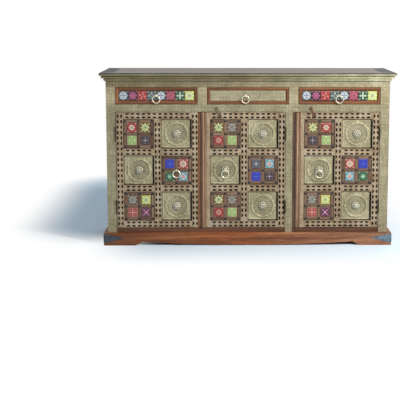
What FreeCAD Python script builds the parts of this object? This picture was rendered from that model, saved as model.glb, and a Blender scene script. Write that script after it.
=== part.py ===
"""Sideboard with three drawers over three doors, clad in brass and set with ceramic tiles.

Millimetres. +Z is up, the front faces -Y, and the origin is on the floor under the middle of the piece.
A pair of doors closes the wide compartment on the left and a single door the narrow one on the right.
"""

import FreeCAD, Part
import math
import os
import re
import Sketcher
from FreeCAD import Placement, Rotation, Vector

# Driving sizes: alias, value and what it measures.
SIZES = [
    ("overall_width", 1540, "across the top"),
    ("overall_height", 910, "floor to top"),
    ("overall_depth", 430, "front edge of the top to its back edge"),
    ("cornice_overhang", 32, "top beyond the carcass at the front and the sides"),
    ("back_overhang", 10, "top beyond the carcass at the back"),
    ("top_thickness", 14, "top boards"),
    ("top_frame_width", 72, "mitred border of the top"),
    ("cornice_height", 30, "moulding under the top"),
    ("cornice_reach", 27, "moulding at its upper fillet"),
    ("cornice_foot", 7, "moulding at its lower bead"),
    ("cornice_bead", 9, "height of the lower bead"),
    ("cornice_bead_radius", 5.5, "roundness of the lower bead"),
    ("cornice_fillet", 6, "height of the upper fillet"),
    ("cornice_step", 4, "step under the upper fillet"),
    ("cornice_cove_radius", 18, "hollow of the moulding"),
    ("frieze_height", 30, "rail over the drawers that shows"),
    ("drawer_opening_height", 90, "height of a drawer opening"),
    ("drawer_rail_height", 39, "rail between drawers and doors"),
    ("sill_height", 24, "rail under the doors"),
    ("sill_recess", 3, "sill behind the posts"),
    ("plinth_height", 66, "base"),
    ("plinth_projection", 20, "base beyond the carcass"),
    ("plinth_thickness", 44, "boards of the base"),
    ("foot_length", 170, "bracket foot along the front"),
    ("side_foot_length", 110, "bracket foot along the side"),
    ("foot_step", 6, "upright start of the foot's curve"),
    ("arch_rise", 21, "apron over the floor beside a foot"),
    ("arch_run", 32, "foot to the top of the apron's arch"),
    ("arch_radius", 45, "curve from the foot to the arch"),
    ("apron_rise", 4, "apron over the floor in the middle"),
    ("apron_radius", 6750, "long curve of the apron"),
    ("notch_width", 16, "cusp in the middle of the apron"),
    ("notch_rise", 4, "height of the cusp"),
    ("post_width", 48, "front posts and uprights"),
    ("post_depth", 42, "front posts, rails and sill"),
    ("cladding", 1, "brass sheet on the front frame"),
    ("bare_edge", 12, "bare wood beside the brass of the centre post"),
    ("side_thickness", 22, "frame of the carcass sides"),
    ("side_stile", 60, "back stile of a side"),
    ("side_rail", 75, "rails of a side"),
    ("side_panel", 10, "panel of a side"),
    ("side_panel_recess", 6, "panel behind its frame"),
    ("back_thickness", 8, "back panel"),
    ("board", 18, "inner boards"),
    ("guide_height", 24, "strips beside the drawers"),
    ("shelf_height", 295, "shelf over the floor of the compartments"),
    ("shelf_setback", 30, "shelf behind the doors"),
    ("cleat", 18, "section of the strips under a shelf"),
    ("stop_height", 14, "strip that the doors close against"),
    ("stop_gap", 0.4, "closed door to its stop"),
    ("corner_block", 50, "legs of the blocks in the base"),
    ("door_gap", 2.5, "gap round a door"),
    ("strip_width", 36, "carved strips on a door"),
    ("strip_thickness", 6, "carved strips"),
    ("free_side", 46, "opening side of a door"),
    ("frame_thickness", 22, "stiles and rails of a door"),
    ("panel_back", 21, "face of the door to the back of its boards"),
    ("tile_board_recess", 5, "tile boards behind the face of the door"),
    ("brass_recess", 9, "brass panels behind the face of the door"),
    ("brass_sheet", 1.5, "brass panels"),
    ("notch_pitch", 28.5, "triangles along a carved strip"),
    ("notch_outer", 13.5, "base of a triangle from the middle of its strip"),
    ("notch_inner", 4.5, "point of a triangle from the middle of its strip"),
    ("notch_base", 20, "base of a triangle"),
    ("notch_depth", 3.6, "depth of a triangle"),
    ("notch_margin", 6, "plain end of a carved strip"),
    ("tile_thickness", 6, "tiles"),
    ("tile_bevel", 1.2, "rounded edge of a tile"),
    ("tile_seat", 4, "depth of a tile's pocket"),
    ("tile_play", 0.25, "pocket round a tile"),
    ("tile_width_share", 0.2983, "tile of a door, of the panel's width"),
    ("tile_height_share", 0.3137, "tile of a door, of the panel's height"),
    ("tile_pitch_x_share", 0.435, "tiles of a door side by side, of the panel's width"),
    ("tile_pitch_z_share", 0.4314, "tiles of a door one over the other, of the panel's height"),
    ("medallion_margin", 12, "round field of a brass panel to the panel's edge"),
    ("medallion_bead", 7, "ring round the field"),
    ("medallion_bead_radius", 5, "roundness of that ring"),
    ("medallion_lift", 1.2, "field over the sheet"),
    ("petal_inner_share", 0.4, "petals start, of the field's radius"),
    ("petal_outer_share", 0.84, "petals end, of the field's radius"),
    ("petal_round_share", 0.64, "roundness of a petal's side, of its length"),
    ("petal_lift", 3.4, "petals over the sheet"),
    ("boss_share", 0.34, "radius of the dome in the middle, of the field's radius"),
    ("boss_lift", 12, "height of the dome"),
    ("boss_flat", 8, "flat top of the dome"),
    ("boss_round", 26, "roundness of the dome"),
    ("astragal_width", 28, "bead on the opening edge of a door"),
    ("astragal_lift", 8, "bead over the face of the door"),
    ("astragal_fillet", 4, "flat beside the bead"),
    ("lip_width", 14, "bare edge of the left door"),
    ("drawer_gap", 2, "gap round a drawer front"),
    ("drawer_front_frame", 16, "mitred frame on a drawer front"),
    ("drawer_frame_thickness", 8, "frame on a drawer front"),
    ("drawer_board", 14, "board of a drawer front"),
    ("drawer_wall", 12, "sides and back of a drawer"),
    ("drawer_bottom", 6, "bottom of a drawer"),
    ("drawer_wall_height", 62, "sides of a drawer"),
    ("drawer_play", 1, "drawer to its guides"),
    ("drawer_lift", 0.3, "drawer over its deck"),
    ("drawer_back_room", 18, "drawer to the back panel"),
    ("drawer_tile_gap", 1, "joint between the tiles of a drawer"),
    ("drawer_tile_margin", 3, "tiles of a drawer to the frame over and under them"),
    ("drawer_face", 5, "tiles and brass in front of a drawer board"),
    ("ring_radius", 19, "pull ring at the middle of its wire"),
    ("ring_wire", 2.6, "radius of the ring's wire"),
    ("eye_radius", 5.2, "eye at the middle of its wire"),
    ("eye_wire", 2.1, "radius of the eye's wire"),
    ("eye_shank", 2.4, "radius of the eye's shank"),
    ("eye_neck", 2, "shank between plate and eye"),
    ("eye_plate", 7.5, "radius of the eye's plate"),
    ("middle_pull_offset", 13, "middle drawer's pull to the left of the drawer's middle"),
    ("eye_plate_thickness", 2, "plate under the eye"),
    ("hinge_length", 66, "hinge barrels"),
    ("hinge_barrel", 4, "radius of a barrel"),
    ("hinge_clear", 0.3, "barrel to the faces beside it"),
    ("hinge_pin", 1.8, "radius of a pin"),
    ("hinge_bore_play", 0.05, "bore round a pin"),
    ("hinge_tip", 3, "height of a pin's button"),
    ("hinge_tip_radius", 3.2, "radius of a pin's button"),
    ("hinge_leaf", 1, "leaves"),
    ("hinge_leaf_depth", 24, "leaves in the gap of the door"),
    ("hinge_inset", 112, "end of a door to the middle of a hinge"),
    ("hasp_inset", 99, "opening edge of a door to a hasp's pivot"),
    ("hasp_drop", 19, "top of a door to a hasp's pivot"),
    ("hasp_length", 43, "hasp, pivot to the middle of its loop"),
    ("hasp_lean", 25, "degrees that a hasp leans to the opening edge"),
    ("hasp_bar", 7, "width of a hasp"),
    ("hasp_thickness", 3, "hasp"),
    ("hasp_loop", 8.5, "radius of a hasp's loop"),
    ("hasp_eye", 5.6, "radius of the hole in the loop"),
    ("hasp_stand", 5, "axis of a hasp before the door"),
    ("hasp_barrel", 3.5, "radius of a hasp's barrel"),
    ("hasp_pin", 1.6, "radius of a hasp's pin"),
    ("hasp_ear", 3, "width of an ear on the hasp's plate"),
    ("hasp_ear_gap", 0.4, "ear to barrel"),
    ("hasp_plate", 1.5, "plate under a hasp"),
    ("hasp_plate_height", 15, "plate under a hasp, along the hasp"),
    ("staple_wire", 1.3, "radius of a staple's wire"),
    ("staple_radius", 2.9, "bow of a staple at the middle of its wire"),
    ("staple_reach", 7, "straight legs of a staple before the rail"),
    ("strap_thickness", 1.5, "iron straps on the base"),
    ("strap_height", 43, "strap at the corner"),
    ("strap_drop", 6, "top of the base to the strap"),
    ("strap_length", 108, "corner to the point of a strap"),
    ("strap_shoulder", 14, "corner to the start of the point"),
    ("overrun", 1, "cuts run past their faces by this"),
]

# Sizes and places that follow from the driving sizes.
FORMULAS = {
    "carcass_width": "overall_width - 2 * cornice_overhang",
    "half": "carcass_width / 2",
    "front": "cornice_overhang - overall_depth / 2",
    "back": "overall_depth / 2 - back_overhang",
    "inside_front": "front + post_depth",
    "inside_back": "back - back_thickness",
    "inside_half": "half - side_thickness",
    "sill_top": "plinth_height + sill_height",
    "top_under": "overall_height - top_thickness",
    "cornice_under": "top_under - cornice_height",
    "frieze_under": "cornice_under - frieze_height",
    "drawer_floor": "frieze_under - drawer_opening_height",
    "doors_over": "drawer_floor - drawer_rail_height",
    "deck_under": "drawer_floor - board",
    "door_width": "(carcass_width - 3 * post_width - 5 * door_gap) / 3",
    "door_height": "doors_over - sill_top - 2 * door_gap",
    "door_bottom": "sill_top + door_gap",
    "door_back": "front + strip_thickness + frame_thickness",
    "left_x": "post_width + door_gap - half",
    "middle_x": "left_x + door_width + door_gap",
    "centre_post_x": "middle_x + door_width + door_gap",
    "right_x": "centre_post_x + post_width + door_gap",
    "partition_x": "centre_post_x + (post_width - board) / 2",
    "panel_width": "(door_width - 2 * strip_width - free_side) / 2",
    "panel_height": "(door_height - 4 * strip_width) / 3",
    "panel_step": "panel_height + strip_width",
    "tile_width": "panel_width * tile_width_share",
    "tile_height": "panel_height * tile_height_share",
    "tile_pitch_x": "panel_width * tile_pitch_x_share",
    "tile_pitch_z": "panel_height * tile_pitch_z_share",
    "drawer_tile": "face_height - 2 * drawer_tile_margin",
    "medallion_radius": "min(panel_width; panel_height) / 2 - medallion_margin",
    "petal_inner": "medallion_radius * petal_inner_share",
    "petal_outer": "medallion_radius * petal_outer_share",
    "petal_radius": "(petal_outer - petal_inner) * petal_round_share",
    "boss_radius": "medallion_radius * boss_share",
    "bay_width": "(carcass_width - 4 * post_width) / 3",
    "bay_step": "bay_width + post_width",
    "upright_x": "post_width + bay_width - half",
    "plinth_half": "half + plinth_projection",
    "plinth_front": "front - plinth_projection",
    "plinth_inner": "plinth_front + plinth_thickness",
    "drawer_box_back": "inside_back - drawer_back_room",
    "drawer_box_front": "front + drawer_frame_thickness + drawer_board",
    "drawer_box_floor": "drawer_floor + drawer_lift",
    "face_width": "bay_width - 2 * drawer_gap - 2 * drawer_front_frame",
    "face_height": "drawer_opening_height - 2 * drawer_gap - 2 * drawer_front_frame",
    "eye_stand": "eye_plate_thickness + eye_neck + eye_wire + eye_radius",
    "hinge_axis": "front - hinge_barrel - hinge_clear",
    "knuckle": "(hinge_length - 2 * hinge_clear) / 3",
}

doc = FreeCAD.newDocument("Sideboard")
sheet = doc.addObject("Spreadsheet::Sheet", "Dims")
ALIASES = {alias for alias, _, _ in SIZES}
NAME = re.compile(r"[a-z][a-z_]*")
nodes = {}


def fill_sheet():
    for row, (alias, value, meaning) in enumerate(SIZES, start=1):
        sheet.set(f"A{row}", meaning)
        sheet.set(f"B{row}", str(value))
        sheet.setAlias(f"B{row}", alias)
    doc.recompute()


def formula(text):
    """An expression of the document, from a formula in plain names."""

    def expand(match):
        word = match.group(0)
        if word in FORMULAS:
            return f"({formula(FORMULAS[word])})"
        return f"Dims.{word}" if word in ALIASES else word

    return NAME.sub(expand, str(text))


def size(text):
    """The number that a formula gives now."""
    return float(sheet.evalExpression(formula(text)))


def bind(thing, **properties):
    for name, text in properties.items():
        thing.setExpression(name, formula(text))
    return thing


def place(thing, x, y, z):
    for axis, text in zip("xyz", (x, y, z)):
        thing.setExpression(f"Placement.Base.{axis}", formula(text))
    return thing


def block(name, x, y, z, length, width, height):
    """A box with its low corner at x, y, z."""
    thing = doc.addObject("Part::Box", name)
    bind(thing, Length=length, Width=width, Height=height)
    return place(thing, x, y, z)


def rod(name, radius, length, x, y, z, along="z"):
    """A cylinder from x, y, z in the direction of +x, +y or +z."""
    turns = {"x": (Vector(0, 1, 0), 90), "y": (Vector(1, 0, 0), -90), "z": (Vector(0, 0, 1), 0)}
    thing = doc.addObject("Part::Cylinder", name)
    bind(thing, Radius=radius, Height=length)
    thing.Placement = Placement(Vector(), Rotation(*turns[along]))
    return place(thing, x, y, z)


def ring(name, radius, wire, x, y, z, axis):
    turns = {"x": (Vector(0, 1, 0), 90), "y": (Vector(1, 0, 0), 90)}
    thing = doc.addObject("Part::Torus", name)
    bind(thing, Radius1=radius, Radius2=wire)
    thing.Placement = Placement(Vector(), Rotation(*turns[axis]))
    return place(thing, x, y, z)


def cut(name, base, *tools):
    thing = doc.addObject("Part::Cut", name)
    thing.Base = base
    thing.Tool = tools[0] if len(tools) == 1 else bundle(f"{name}_tools", tools)
    return thing


def fuse(name, *shapes):
    thing = doc.addObject("Part::MultiFuse", name)
    thing.Shapes = list(shapes)
    thing.Refine = True
    return thing


def common(name, base, tool):
    thing = doc.addObject("Part::Common", name)
    thing.Base = base
    thing.Tool = tool
    return thing


def bundle(name, things):
    thing = doc.addObject("Part::Compound", name)
    thing.Links = list(things)
    return thing


def node(label, *things):
    """One sub-part: one solid, or a group of separate solids that are handled as one."""
    thing = things[0] if len(things) == 1 and not things[0].isDerivedFrom("App::Link") else None
    thing = thing or bundle(f"{label}_group", things)
    thing.Label = label
    nodes[label] = thing
    return thing


def copy_of(name, master, x, y, z, turn=None):
    thing = doc.addObject("App::Link", name)
    thing.LinkedObject = master
    if turn is not None:
        thing.Placement = Placement(Vector(), turn)
    return place(thing, x, y, z)


def arc_between(start, end, radius, side):
    """The arc from start to end that bulges to the left of the way when side is 1, else to the right."""
    chord = end - start
    left = Vector(-chord.y, chord.x, 0).normalize()
    depth = math.sqrt(max(radius**2 - (chord.Length / 2) ** 2, 0))
    centre = (start + end) / 2 - left * depth * side
    first, last = (end, start) if side > 0 else (start, end)
    angles = [math.atan2(p.y - centre.y, p.x - centre.x) for p in (first, last)]
    if angles[1] < angles[0]:
        angles[1] += 2 * math.pi
    return Part.ArcOfCircle(Part.Circle(centre, Vector(0, 0, 1), radius), *angles)


def outline(body, name, role, corners):
    """A closed sketch. A corner is (x, y), or (x, y, radius, side) where an arc runs to the next corner."""
    sketch = body.newObject("Sketcher::SketchObject", name)
    plane = next(f for f in body.Origin.OriginFeatures if f.Role == role)
    sketch.AttachmentSupport = [(plane, "")]
    sketch.MapMode = "FlatFace"
    points = [Vector(size(c[0]), size(c[1]), 0) for c in corners]
    ends = []
    for i, corner in enumerate(corners):
        start, end = points[i], points[(i + 1) % len(points)]
        if len(corner) == 2:
            sketch.addGeometry(Part.LineSegment(start, end))
            ends.append((1, 2))
        else:
            sketch.addGeometry(arc_between(start, end, size(corner[2]), corner[3]))
            ends.append((2, 1) if corner[3] > 0 else (1, 2))
    for i, corner in enumerate(corners):
        after = (i + 1) % len(corners)
        sketch.addConstraint(Sketcher.Constraint("Coincident", i, ends[i][1], after, ends[after][0]))
    for i, corner in enumerate(corners):
        for axis, text, value in zip("XY", corner, points[i]):
            rule = Sketcher.Constraint(f"Distance{axis}", -1, 1, i, ends[i][0], value)
            index = sketch.addConstraint(rule)
            sketch.renameConstraint(index, f"corner_{i}_{axis}")
            sketch.setExpression(f"Constraints.corner_{i}_{axis}", formula(text))
        for text in corner[2:3]:
            index = sketch.addConstraint(Sketcher.Constraint("Radius", i, size(text)))
            sketch.renameConstraint(index, f"radius_{i}")
            sketch.setExpression(f"Constraints.radius_{i}", formula(text))
    return sketch


def extruded(name, role, corners, length, reverse=False):
    """A body padded from one outline. XZ outlines grow to -Y, YZ ones to +X and XY ones to +Z."""
    body = doc.addObject("PartDesign::Body", name)
    pad = body.newObject("PartDesign::Pad", f"{name}_pad")
    pad.Profile = outline(body, f"{name}_outline", role, corners)
    pad.Reversed = reverse
    bind(pad, Length=length)
    return body


def mitred_frame(name, role, low, high, bar, thickness, reverse):
    """Four bars with mitred corners round the rectangle from low to high."""
    (x0, y0), (x1, y1) = low, high
    outer = [(x0, y0), (x1, y0), (x1, y1), (x0, y1)]
    inner = [
        (f"{x0} + {bar}", f"{y0} + {bar}"),
        (f"{x1} - {bar}", f"{y0} + {bar}"),
        (f"{x1} - {bar}", f"{y1} - {bar}"),
        (f"{x0} + {bar}", f"{y1} - {bar}"),
    ]
    bars = []
    for i, side in enumerate(("near", "right", "far", "left")):
        j = (i + 1) % len(outer)
        corners = [outer[i], outer[j], inner[j], inner[i]]
        bars.append(extruded(f"{name}_{side}", role, corners, thickness, reverse))
    return bars


# The carcass: sides, bottom, back, inner boards and the top.
def side(name, x, panel_x):
    depth = "back - inside_front"
    height = "top_under - plinth_height"
    panel_depth = f"{depth} - side_stile"
    upper = "top_under - side_rail"
    return node(
        name,
        block(
            f"{name}_stile", x, "back - side_stile", "plinth_height", "side_thickness", "side_stile", height
        ),
        block(
            f"{name}_lower", x, "inside_front", "plinth_height", "side_thickness", panel_depth, "side_rail"
        ),
        block(f"{name}_upper", x, "inside_front", upper, "side_thickness", panel_depth, "side_rail"),
        block(
            f"{name}_panel",
            panel_x,
            "inside_front",
            "plinth_height + side_rail",
            "side_panel",
            panel_depth,
            f"{height} - 2 * side_rail",
        ),
    )


def carcass():
    side("side_left", "-half", "side_panel_recess - half")
    side("side_right", "inside_half", "half - side_panel_recess - side_panel")
    width = "2 * inside_half"
    depth = "inside_back - inside_front"
    node(
        "bottom_board",
        block("bottom", "-inside_half", "inside_front", "sill_top - board", width, depth, "board"),
    )
    back_height = "top_under - plinth_height"
    node(
        "back_panel",
        block(
            "back_sheet", "-inside_half", "inside_back", "plinth_height", width, "back_thickness", back_height
        ),
    )
    deck = block("deck", "-inside_half", "inside_front", "deck_under", width, depth, "board")
    node("drawer_deck", deck)
    inner_height = "deck_under - sill_top"
    partition = block("partition", "partition_x", "inside_front", "sill_top", "board", depth, inner_height)
    dividers = [
        block(
            f"divider_{i}",
            f"upright_x + {i} * bay_step + (post_width - board) / 2",
            "inside_front",
            "drawer_floor",
            "board",
            depth,
            "top_under - drawer_floor",
        )
        for i in range(2)
    ]
    node("partitions", partition, *dividers)


def guide_strips():
    """Strips that keep the drawers straight, beside each bay."""
    depth = "inside_back - inside_front"
    wide = "post_width - side_thickness"
    narrow = "(post_width - board) / 2"
    places = [("-inside_half", wide), (f"inside_half - ({wide})", wide)]
    for i in range(2):
        places.append((f"upright_x + {i} * bay_step", narrow))
        places.append((f"upright_x + {i} * bay_step + post_width - {narrow}", narrow))
    return [
        block(f"guide_{i}", x, "inside_front", "drawer_floor", width, depth, "guide_height")
        for i, (x, width) in enumerate(places)
    ]


def shelves():
    """One shelf in each compartment, and the strips inside: cleats, door stops and drawer guides."""
    ahead = "inside_front + shelf_setback"
    depth = f"inside_back - ({ahead})"
    low = "sill_top + shelf_height"
    bays = [("-inside_half", "partition_x"), ("partition_x + board", "inside_half")]
    boards, strips = [], guide_strips()
    for i, (x0, x1) in enumerate(bays):
        boards.append(block(f"shelf_{i}", x0, ahead, low, f"{x1} - ({x0})", depth, "board"))
        for j, x in enumerate((x0, f"{x1} - cleat")):
            strips.append(block(f"cleat_{i}_{j}", x, ahead, f"{low} - cleat", "cleat", depth, "cleat"))
    openings = [("post_width - half", "centre_post_x"), ("centre_post_x + post_width", "half - post_width")]
    stop_y = "door_back + stop_gap"
    for i, (x0, x1) in enumerate(openings):
        stop_z = "doors_over - stop_height"
        stop_depth = f"inside_front - ({stop_y})"
        strips.append(block(f"stop_{i}", x0, stop_y, stop_z, f"{x1} - ({x0})", stop_depth, "stop_height"))
    node("shelves", *boards)
    node("inner_strips", *strips)


def top():
    low = ("-overall_width / 2", "-overall_depth / 2")
    high = ("overall_width / 2", "overall_depth / 2")
    bars = mitred_frame("top_bar", "XY_Plane", low, high, "top_frame_width", "top_thickness", False)
    for bar in bars:
        place(bar, "0", "0", "top_under")
    node("top_frame", *bars)
    node(
        "top_panel",
        block(
            "top_sheet",
            "top_frame_width - overall_width / 2",
            "top_frame_width - overall_depth / 2",
            "top_under",
            "overall_width - 2 * top_frame_width",
            "overall_depth - 2 * top_frame_width",
            "top_thickness",
        ),
    )


def cornice_profile(out):
    """The moulding's section, with out turning a projection into the sketch's first coordinate."""
    hand = 1 if out("1").startswith("-") else -1
    return [
        (out("0"), "cornice_under"),
        (out("cornice_foot"), "cornice_under", "cornice_bead_radius", hand),
        (out("cornice_foot"), "cornice_under + cornice_bead", "cornice_cove_radius", -hand),
        (out("cornice_reach - cornice_step"), "top_under - cornice_fillet"),
        (out("cornice_reach"), "top_under - cornice_fillet"),
        (out("cornice_reach"), "top_under"),
        (out("0"), "top_under"),
    ]


def cornice():
    """Three lengths of moulding under the top, mitred at the front corners."""
    far = "half + cornice_reach"
    nose = "front - cornice_reach"
    reach = f"2 * ({far})"
    bar = extruded("cornice_bar", "YZ_Plane", cornice_profile(lambda u: f"-({u}) + front"), reach)
    place(bar, f"-({far})", "0", "0")
    plan = [(f"-({far})", nose), (far, nose), ("half", "front"), ("-half", "front")]
    pieces = [
        common("cornice_front", bar, extruded("cornice_front_plan", "XY_Plane", plan, "overall_height"))
    ]
    for name, sign in (("left", "-"), ("right", "")):
        section = cornice_profile(lambda u: f"{sign}(half + {u})")
        length = f"back - ({nose})"
        bar = extruded(f"cornice_{name}_bar", "XZ_Plane", section, length, True)
        place(bar, "0", nose, "0")
        plan = [
            (f"{sign}(half)", "front"),
            (f"{sign}({far})", nose),
            (f"{sign}({far})", "back"),
            (f"{sign}(half)", "back"),
        ]
        pieces.append(
            common(
                f"cornice_{name}", bar, extruded(f"cornice_{name}_plan", "XY_Plane", plan, "overall_height")
            ),
        )
    node("cornice", *pieces)


# The base: scalloped boards, corner blocks and iron straps.
def apron(half_length, foot):
    """Half of an apron's lower edge, from the foot to the middle, as (x, z) with x from the middle."""
    start = f"{half_length} - {foot}"
    return [
        (start, "0"),
        (start, "foot_step", "arch_radius", 1),
        (f"{start} - arch_run", "arch_rise", "apron_radius", 1),
        ("notch_width / 2", "apron_rise"),
        ("0", "apron_rise + notch_rise"),
    ]


def plinth():
    right = apron("plinth_half", "foot_length")
    left = [(f"-({x})", z) for x, z in [(c[0], c[1]) for c in right[:-1]]][::-1]
    left_edge = [
        (left[0][0], left[0][1], "apron_radius", 1),
        (left[1][0], left[1][1], "arch_radius", 1),
        left[2],
        left[3],
    ]
    corners = [("plinth_half", "plinth_height"), ("plinth_half", "0"), *right, *left_edge]
    corners += [("-plinth_half", "0"), ("-plinth_half", "plinth_height")]
    board = extruded("plinth_front_board", "XZ_Plane", corners, "plinth_thickness", True)
    node("plinth_front", place(board, "0", "plinth_front", "0"))
    length = "back - plinth_inner"
    returns = []
    for name, x in (("left", "-plinth_half"), ("right", "plinth_half - plinth_thickness")):
        edge = [
            ("0", "plinth_height"),
            ("0", "0"),
            ("side_foot_length", "0"),
            ("side_foot_length", "foot_step", "arch_radius", -1),
            ("side_foot_length + arch_run", "arch_rise"),
            (f"{length} - side_foot_length - arch_run", "arch_rise", "arch_radius", -1),
            (f"{length} - side_foot_length", "foot_step"),
            (f"{length} - side_foot_length", "0"),
            (length, "0"),
            (length, "plinth_height"),
        ]
        body = extruded(f"plinth_{name}_board", "YZ_Plane", edge, "plinth_thickness")
        returns.append(place(body, x, "plinth_inner", "0"))
    inner = "2 * (plinth_half - plinth_thickness)"
    rear = block(
        "plinth_rear",
        "plinth_thickness - plinth_half",
        "back - board",
        "arch_rise",
        inner,
        "board",
        "plinth_height - arch_rise",
    )
    node("plinth_returns", *returns, rear, *plinth_blocks())


def plinth_blocks():
    """Triangular blocks that hold the corners of the base together."""
    inner = "plinth_half - plinth_thickness"
    height = "plinth_height - arch_rise"
    blocks = []
    for name, sign in (("left", "-"), ("right", "")):
        for row, y, way in (("front", "plinth_inner", "+"), ("rear", "back - board", "-")):
            corner = (f"{sign}({inner})", y)
            along = (f"{sign}({inner} - corner_block)", y)
            across = (f"{sign}({inner})", f"{y} {way} corner_block")
            body = extruded(f"block_{name}_{row}", "XY_Plane", [corner, along, across], height)
            blocks.append(place(body, "0", "0", "arch_rise"))
    return blocks


def corner_straps():
    """Iron straps with pointed ends, folded round the front corners of the base."""
    top_z = "plinth_height - strap_drop"
    low_z = f"{top_z} - strap_height"
    mid_z = f"{top_z} - strap_height / 2"
    straps = []
    for name, sign, x in (("left", "-", "-plinth_half - strap_thickness"), ("right", "", "plinth_half")):
        out = "plinth_half + strap_thickness"
        face = [
            (f"{sign}({out})", low_z),
            (f"{sign}(plinth_half - strap_shoulder)", low_z),
            (f"{sign}(plinth_half - strap_length)", mid_z),
            (f"{sign}(plinth_half - strap_shoulder)", top_z),
            (f"{sign}({out})", top_z),
        ]
        leg = [
            ("0", low_z),
            ("strap_shoulder", low_z),
            ("strap_length", mid_z),
            ("strap_shoulder", top_z),
            ("0", top_z),
        ]
        ahead = place(
            extruded(f"strap_{name}_front", "XZ_Plane", face, "strap_thickness"), "0", "plinth_front", "0"
        )
        beside = place(
            extruded(f"strap_{name}_side", "YZ_Plane", leg, "strap_thickness"), x, "plinth_front", "0"
        )
        straps.append(fuse(f"strap_{name}", ahead, beside))
    node("corner_straps", *straps)


# The front frame: wooden posts and rails under brass sheet.
def front_frame():
    core = "front + cladding"
    depth = "post_depth - cladding"
    outer_height = "top_under - plinth_height"
    centre_height = "doors_over - plinth_height"
    between = "carcass_width - 2 * post_width"
    span = "post_width - half"
    right_post = "half - post_width"
    upright_height = "frieze_under - drawer_floor"
    posts = [
        block("post_left", "-half", core, "plinth_height", "post_width", depth, outer_height),
        block("post_centre", "centre_post_x", core, "plinth_height", "post_width", depth, centre_height),
        block("post_right", right_post, core, "plinth_height", "post_width", depth, outer_height),
    ]
    node(
        "front_rails",
        block("frieze", span, core, "frieze_under", between, depth, "top_under - frieze_under"),
        block("rail", span, core, "doors_over", between, depth, "drawer_rail_height"),
    )
    uprights = [
        block(
            f"upright_{i}",
            f"upright_x + {i} * bay_step",
            core,
            "drawer_floor",
            "post_width",
            depth,
            upright_height,
        )
        for i in range(2)
    ]
    node("front_posts", *posts, *uprights)
    sill_front = "front + sill_recess"
    sill_depth = "post_depth - sill_recess"
    right_sill = "centre_post_x + post_width"
    node(
        "sill_rail",
        block(
            "sill_wide",
            span,
            sill_front,
            "plinth_height",
            f"centre_post_x - ({span})",
            sill_depth,
            "sill_height",
        ),
        block(
            "sill_narrow",
            right_sill,
            sill_front,
            "plinth_height",
            f"{right_post} - ({right_sill})",
            sill_depth,
            "sill_height",
        ),
    )
    sheets = [
        ("post_left", "-half", "plinth_height", "post_width", "cornice_under - plinth_height"),
        ("post_centre", "centre_post_x", "plinth_height", "post_width - bare_edge", centre_height),
        ("post_right", right_post, "plinth_height", "post_width", "cornice_under - plinth_height"),
        ("frieze", span, "frieze_under", between, "frieze_height"),
        ("rail", span, "doors_over", between, "drawer_rail_height"),
        ("upright_0", "upright_x", "drawer_floor", "post_width", upright_height),
        ("upright_1", "upright_x + bay_step", "drawer_floor", "post_width", upright_height),
    ]
    node(
        "front_cladding",
        *[block(f"sheet_{name}", x, "front", z, w, "cladding", h) for name, x, z, w, h in sheets],
    )


# Masters that are copied to several places.
def tile_master(name, width, height):
    """A tile with a bevelled face, in the middle of the XZ plane."""
    body = doc.addObject("PartDesign::Body", name)
    pad = body.newObject("PartDesign::Pad", f"{name}_pad")
    signs = (("-", "-"), ("", "-"), ("", ""), ("-", ""))
    corners = [(f"{a}{width} / 2", f"{b}{height} / 2") for a, b in signs]
    pad.Profile = outline(body, f"{name}_outline", "XZ_Plane", corners)
    pad.Reversed = True
    bind(pad, Length="tile_thickness")
    doc.recompute()
    faces = enumerate(pad.Shape.Faces, start=1)
    face = min(faces, key=lambda pair: pair[1].CenterOfMass.y)[0]
    bevel = body.newObject("PartDesign::Chamfer", f"{name}_bevel")
    bevel.Base = (pad, [f"Face{face}"])
    bind(bevel, Size="tile_bevel")
    return body


def medallion_master():
    """A brass panel: sheet, round field with a beaded ring, petals and a dome."""
    body = doc.addObject("PartDesign::Body", "medallion_master")
    signs = (("-", "-"), ("", "-"), ("", ""), ("-", ""))
    sheet_corners = [(f"{a}panel_width / 2", f"{b}panel_height / 2") for a, b in signs]
    pad = body.newObject("PartDesign::Pad", "medallion_sheet")
    pad.Profile = outline(body, "medallion_sheet_outline", "XZ_Plane", sheet_corners)
    pad.Reversed = True
    bind(pad, Length="brass_sheet")
    section = [
        ("0", "brass_sheet / 2"),
        ("medallion_radius", "brass_sheet / 2"),
        ("medallion_radius", "-medallion_lift", "medallion_bead_radius", -1),
        ("medallion_radius - medallion_bead", "-medallion_lift"),
        ("boss_radius", "-medallion_lift", "boss_round", -1),
        ("boss_flat", "-boss_lift"),
        ("0", "-boss_lift"),
    ]
    turned = body.newObject("PartDesign::Revolution", "medallion_turned")
    turned.Profile = outline(body, "medallion_section", "XY_Plane", section)
    turned.ReferenceAxis = (turned.Profile[0], ["V_Axis"])
    turned.Angle = 360
    petal = [
        ("0", "petal_inner", "petal_radius", 1),
        ("0", "petal_outer", "petal_radius", 1),
    ]
    leaf = body.newObject("PartDesign::Pad", "petal")
    leaf.Profile = outline(body, "petal_outline", "XZ_Plane", petal)
    bind(leaf, Length="petal_lift")
    petals = body.newObject("PartDesign::PolarPattern", "petals")
    petals.Originals = [leaf]
    petals.Axis = (next(f for f in body.Origin.OriginFeatures if f.Role == "Y_Axis"), [""])
    petals.Angle = 360
    petals.Occurrences = 12
    body.Tip = petals
    return body


def eye_master():
    """Eye that holds a pull ring: plate on the face, neck, and a loop on the X axis through the origin."""
    plate = rod(
        "eye_plate", "eye_plate", "eye_plate_thickness", "0", "eye_stand - eye_plate_thickness", "0", "y"
    )
    neck = rod("eye_neck", "eye_shank", "eye_neck + eye_wire", "0", "eye_radius", "0", "y")
    loop = ring("eye_loop", "eye_radius", "eye_wire", "0", "0", "0", "x")
    return fuse("eye_master", plate, neck, loop)


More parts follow.
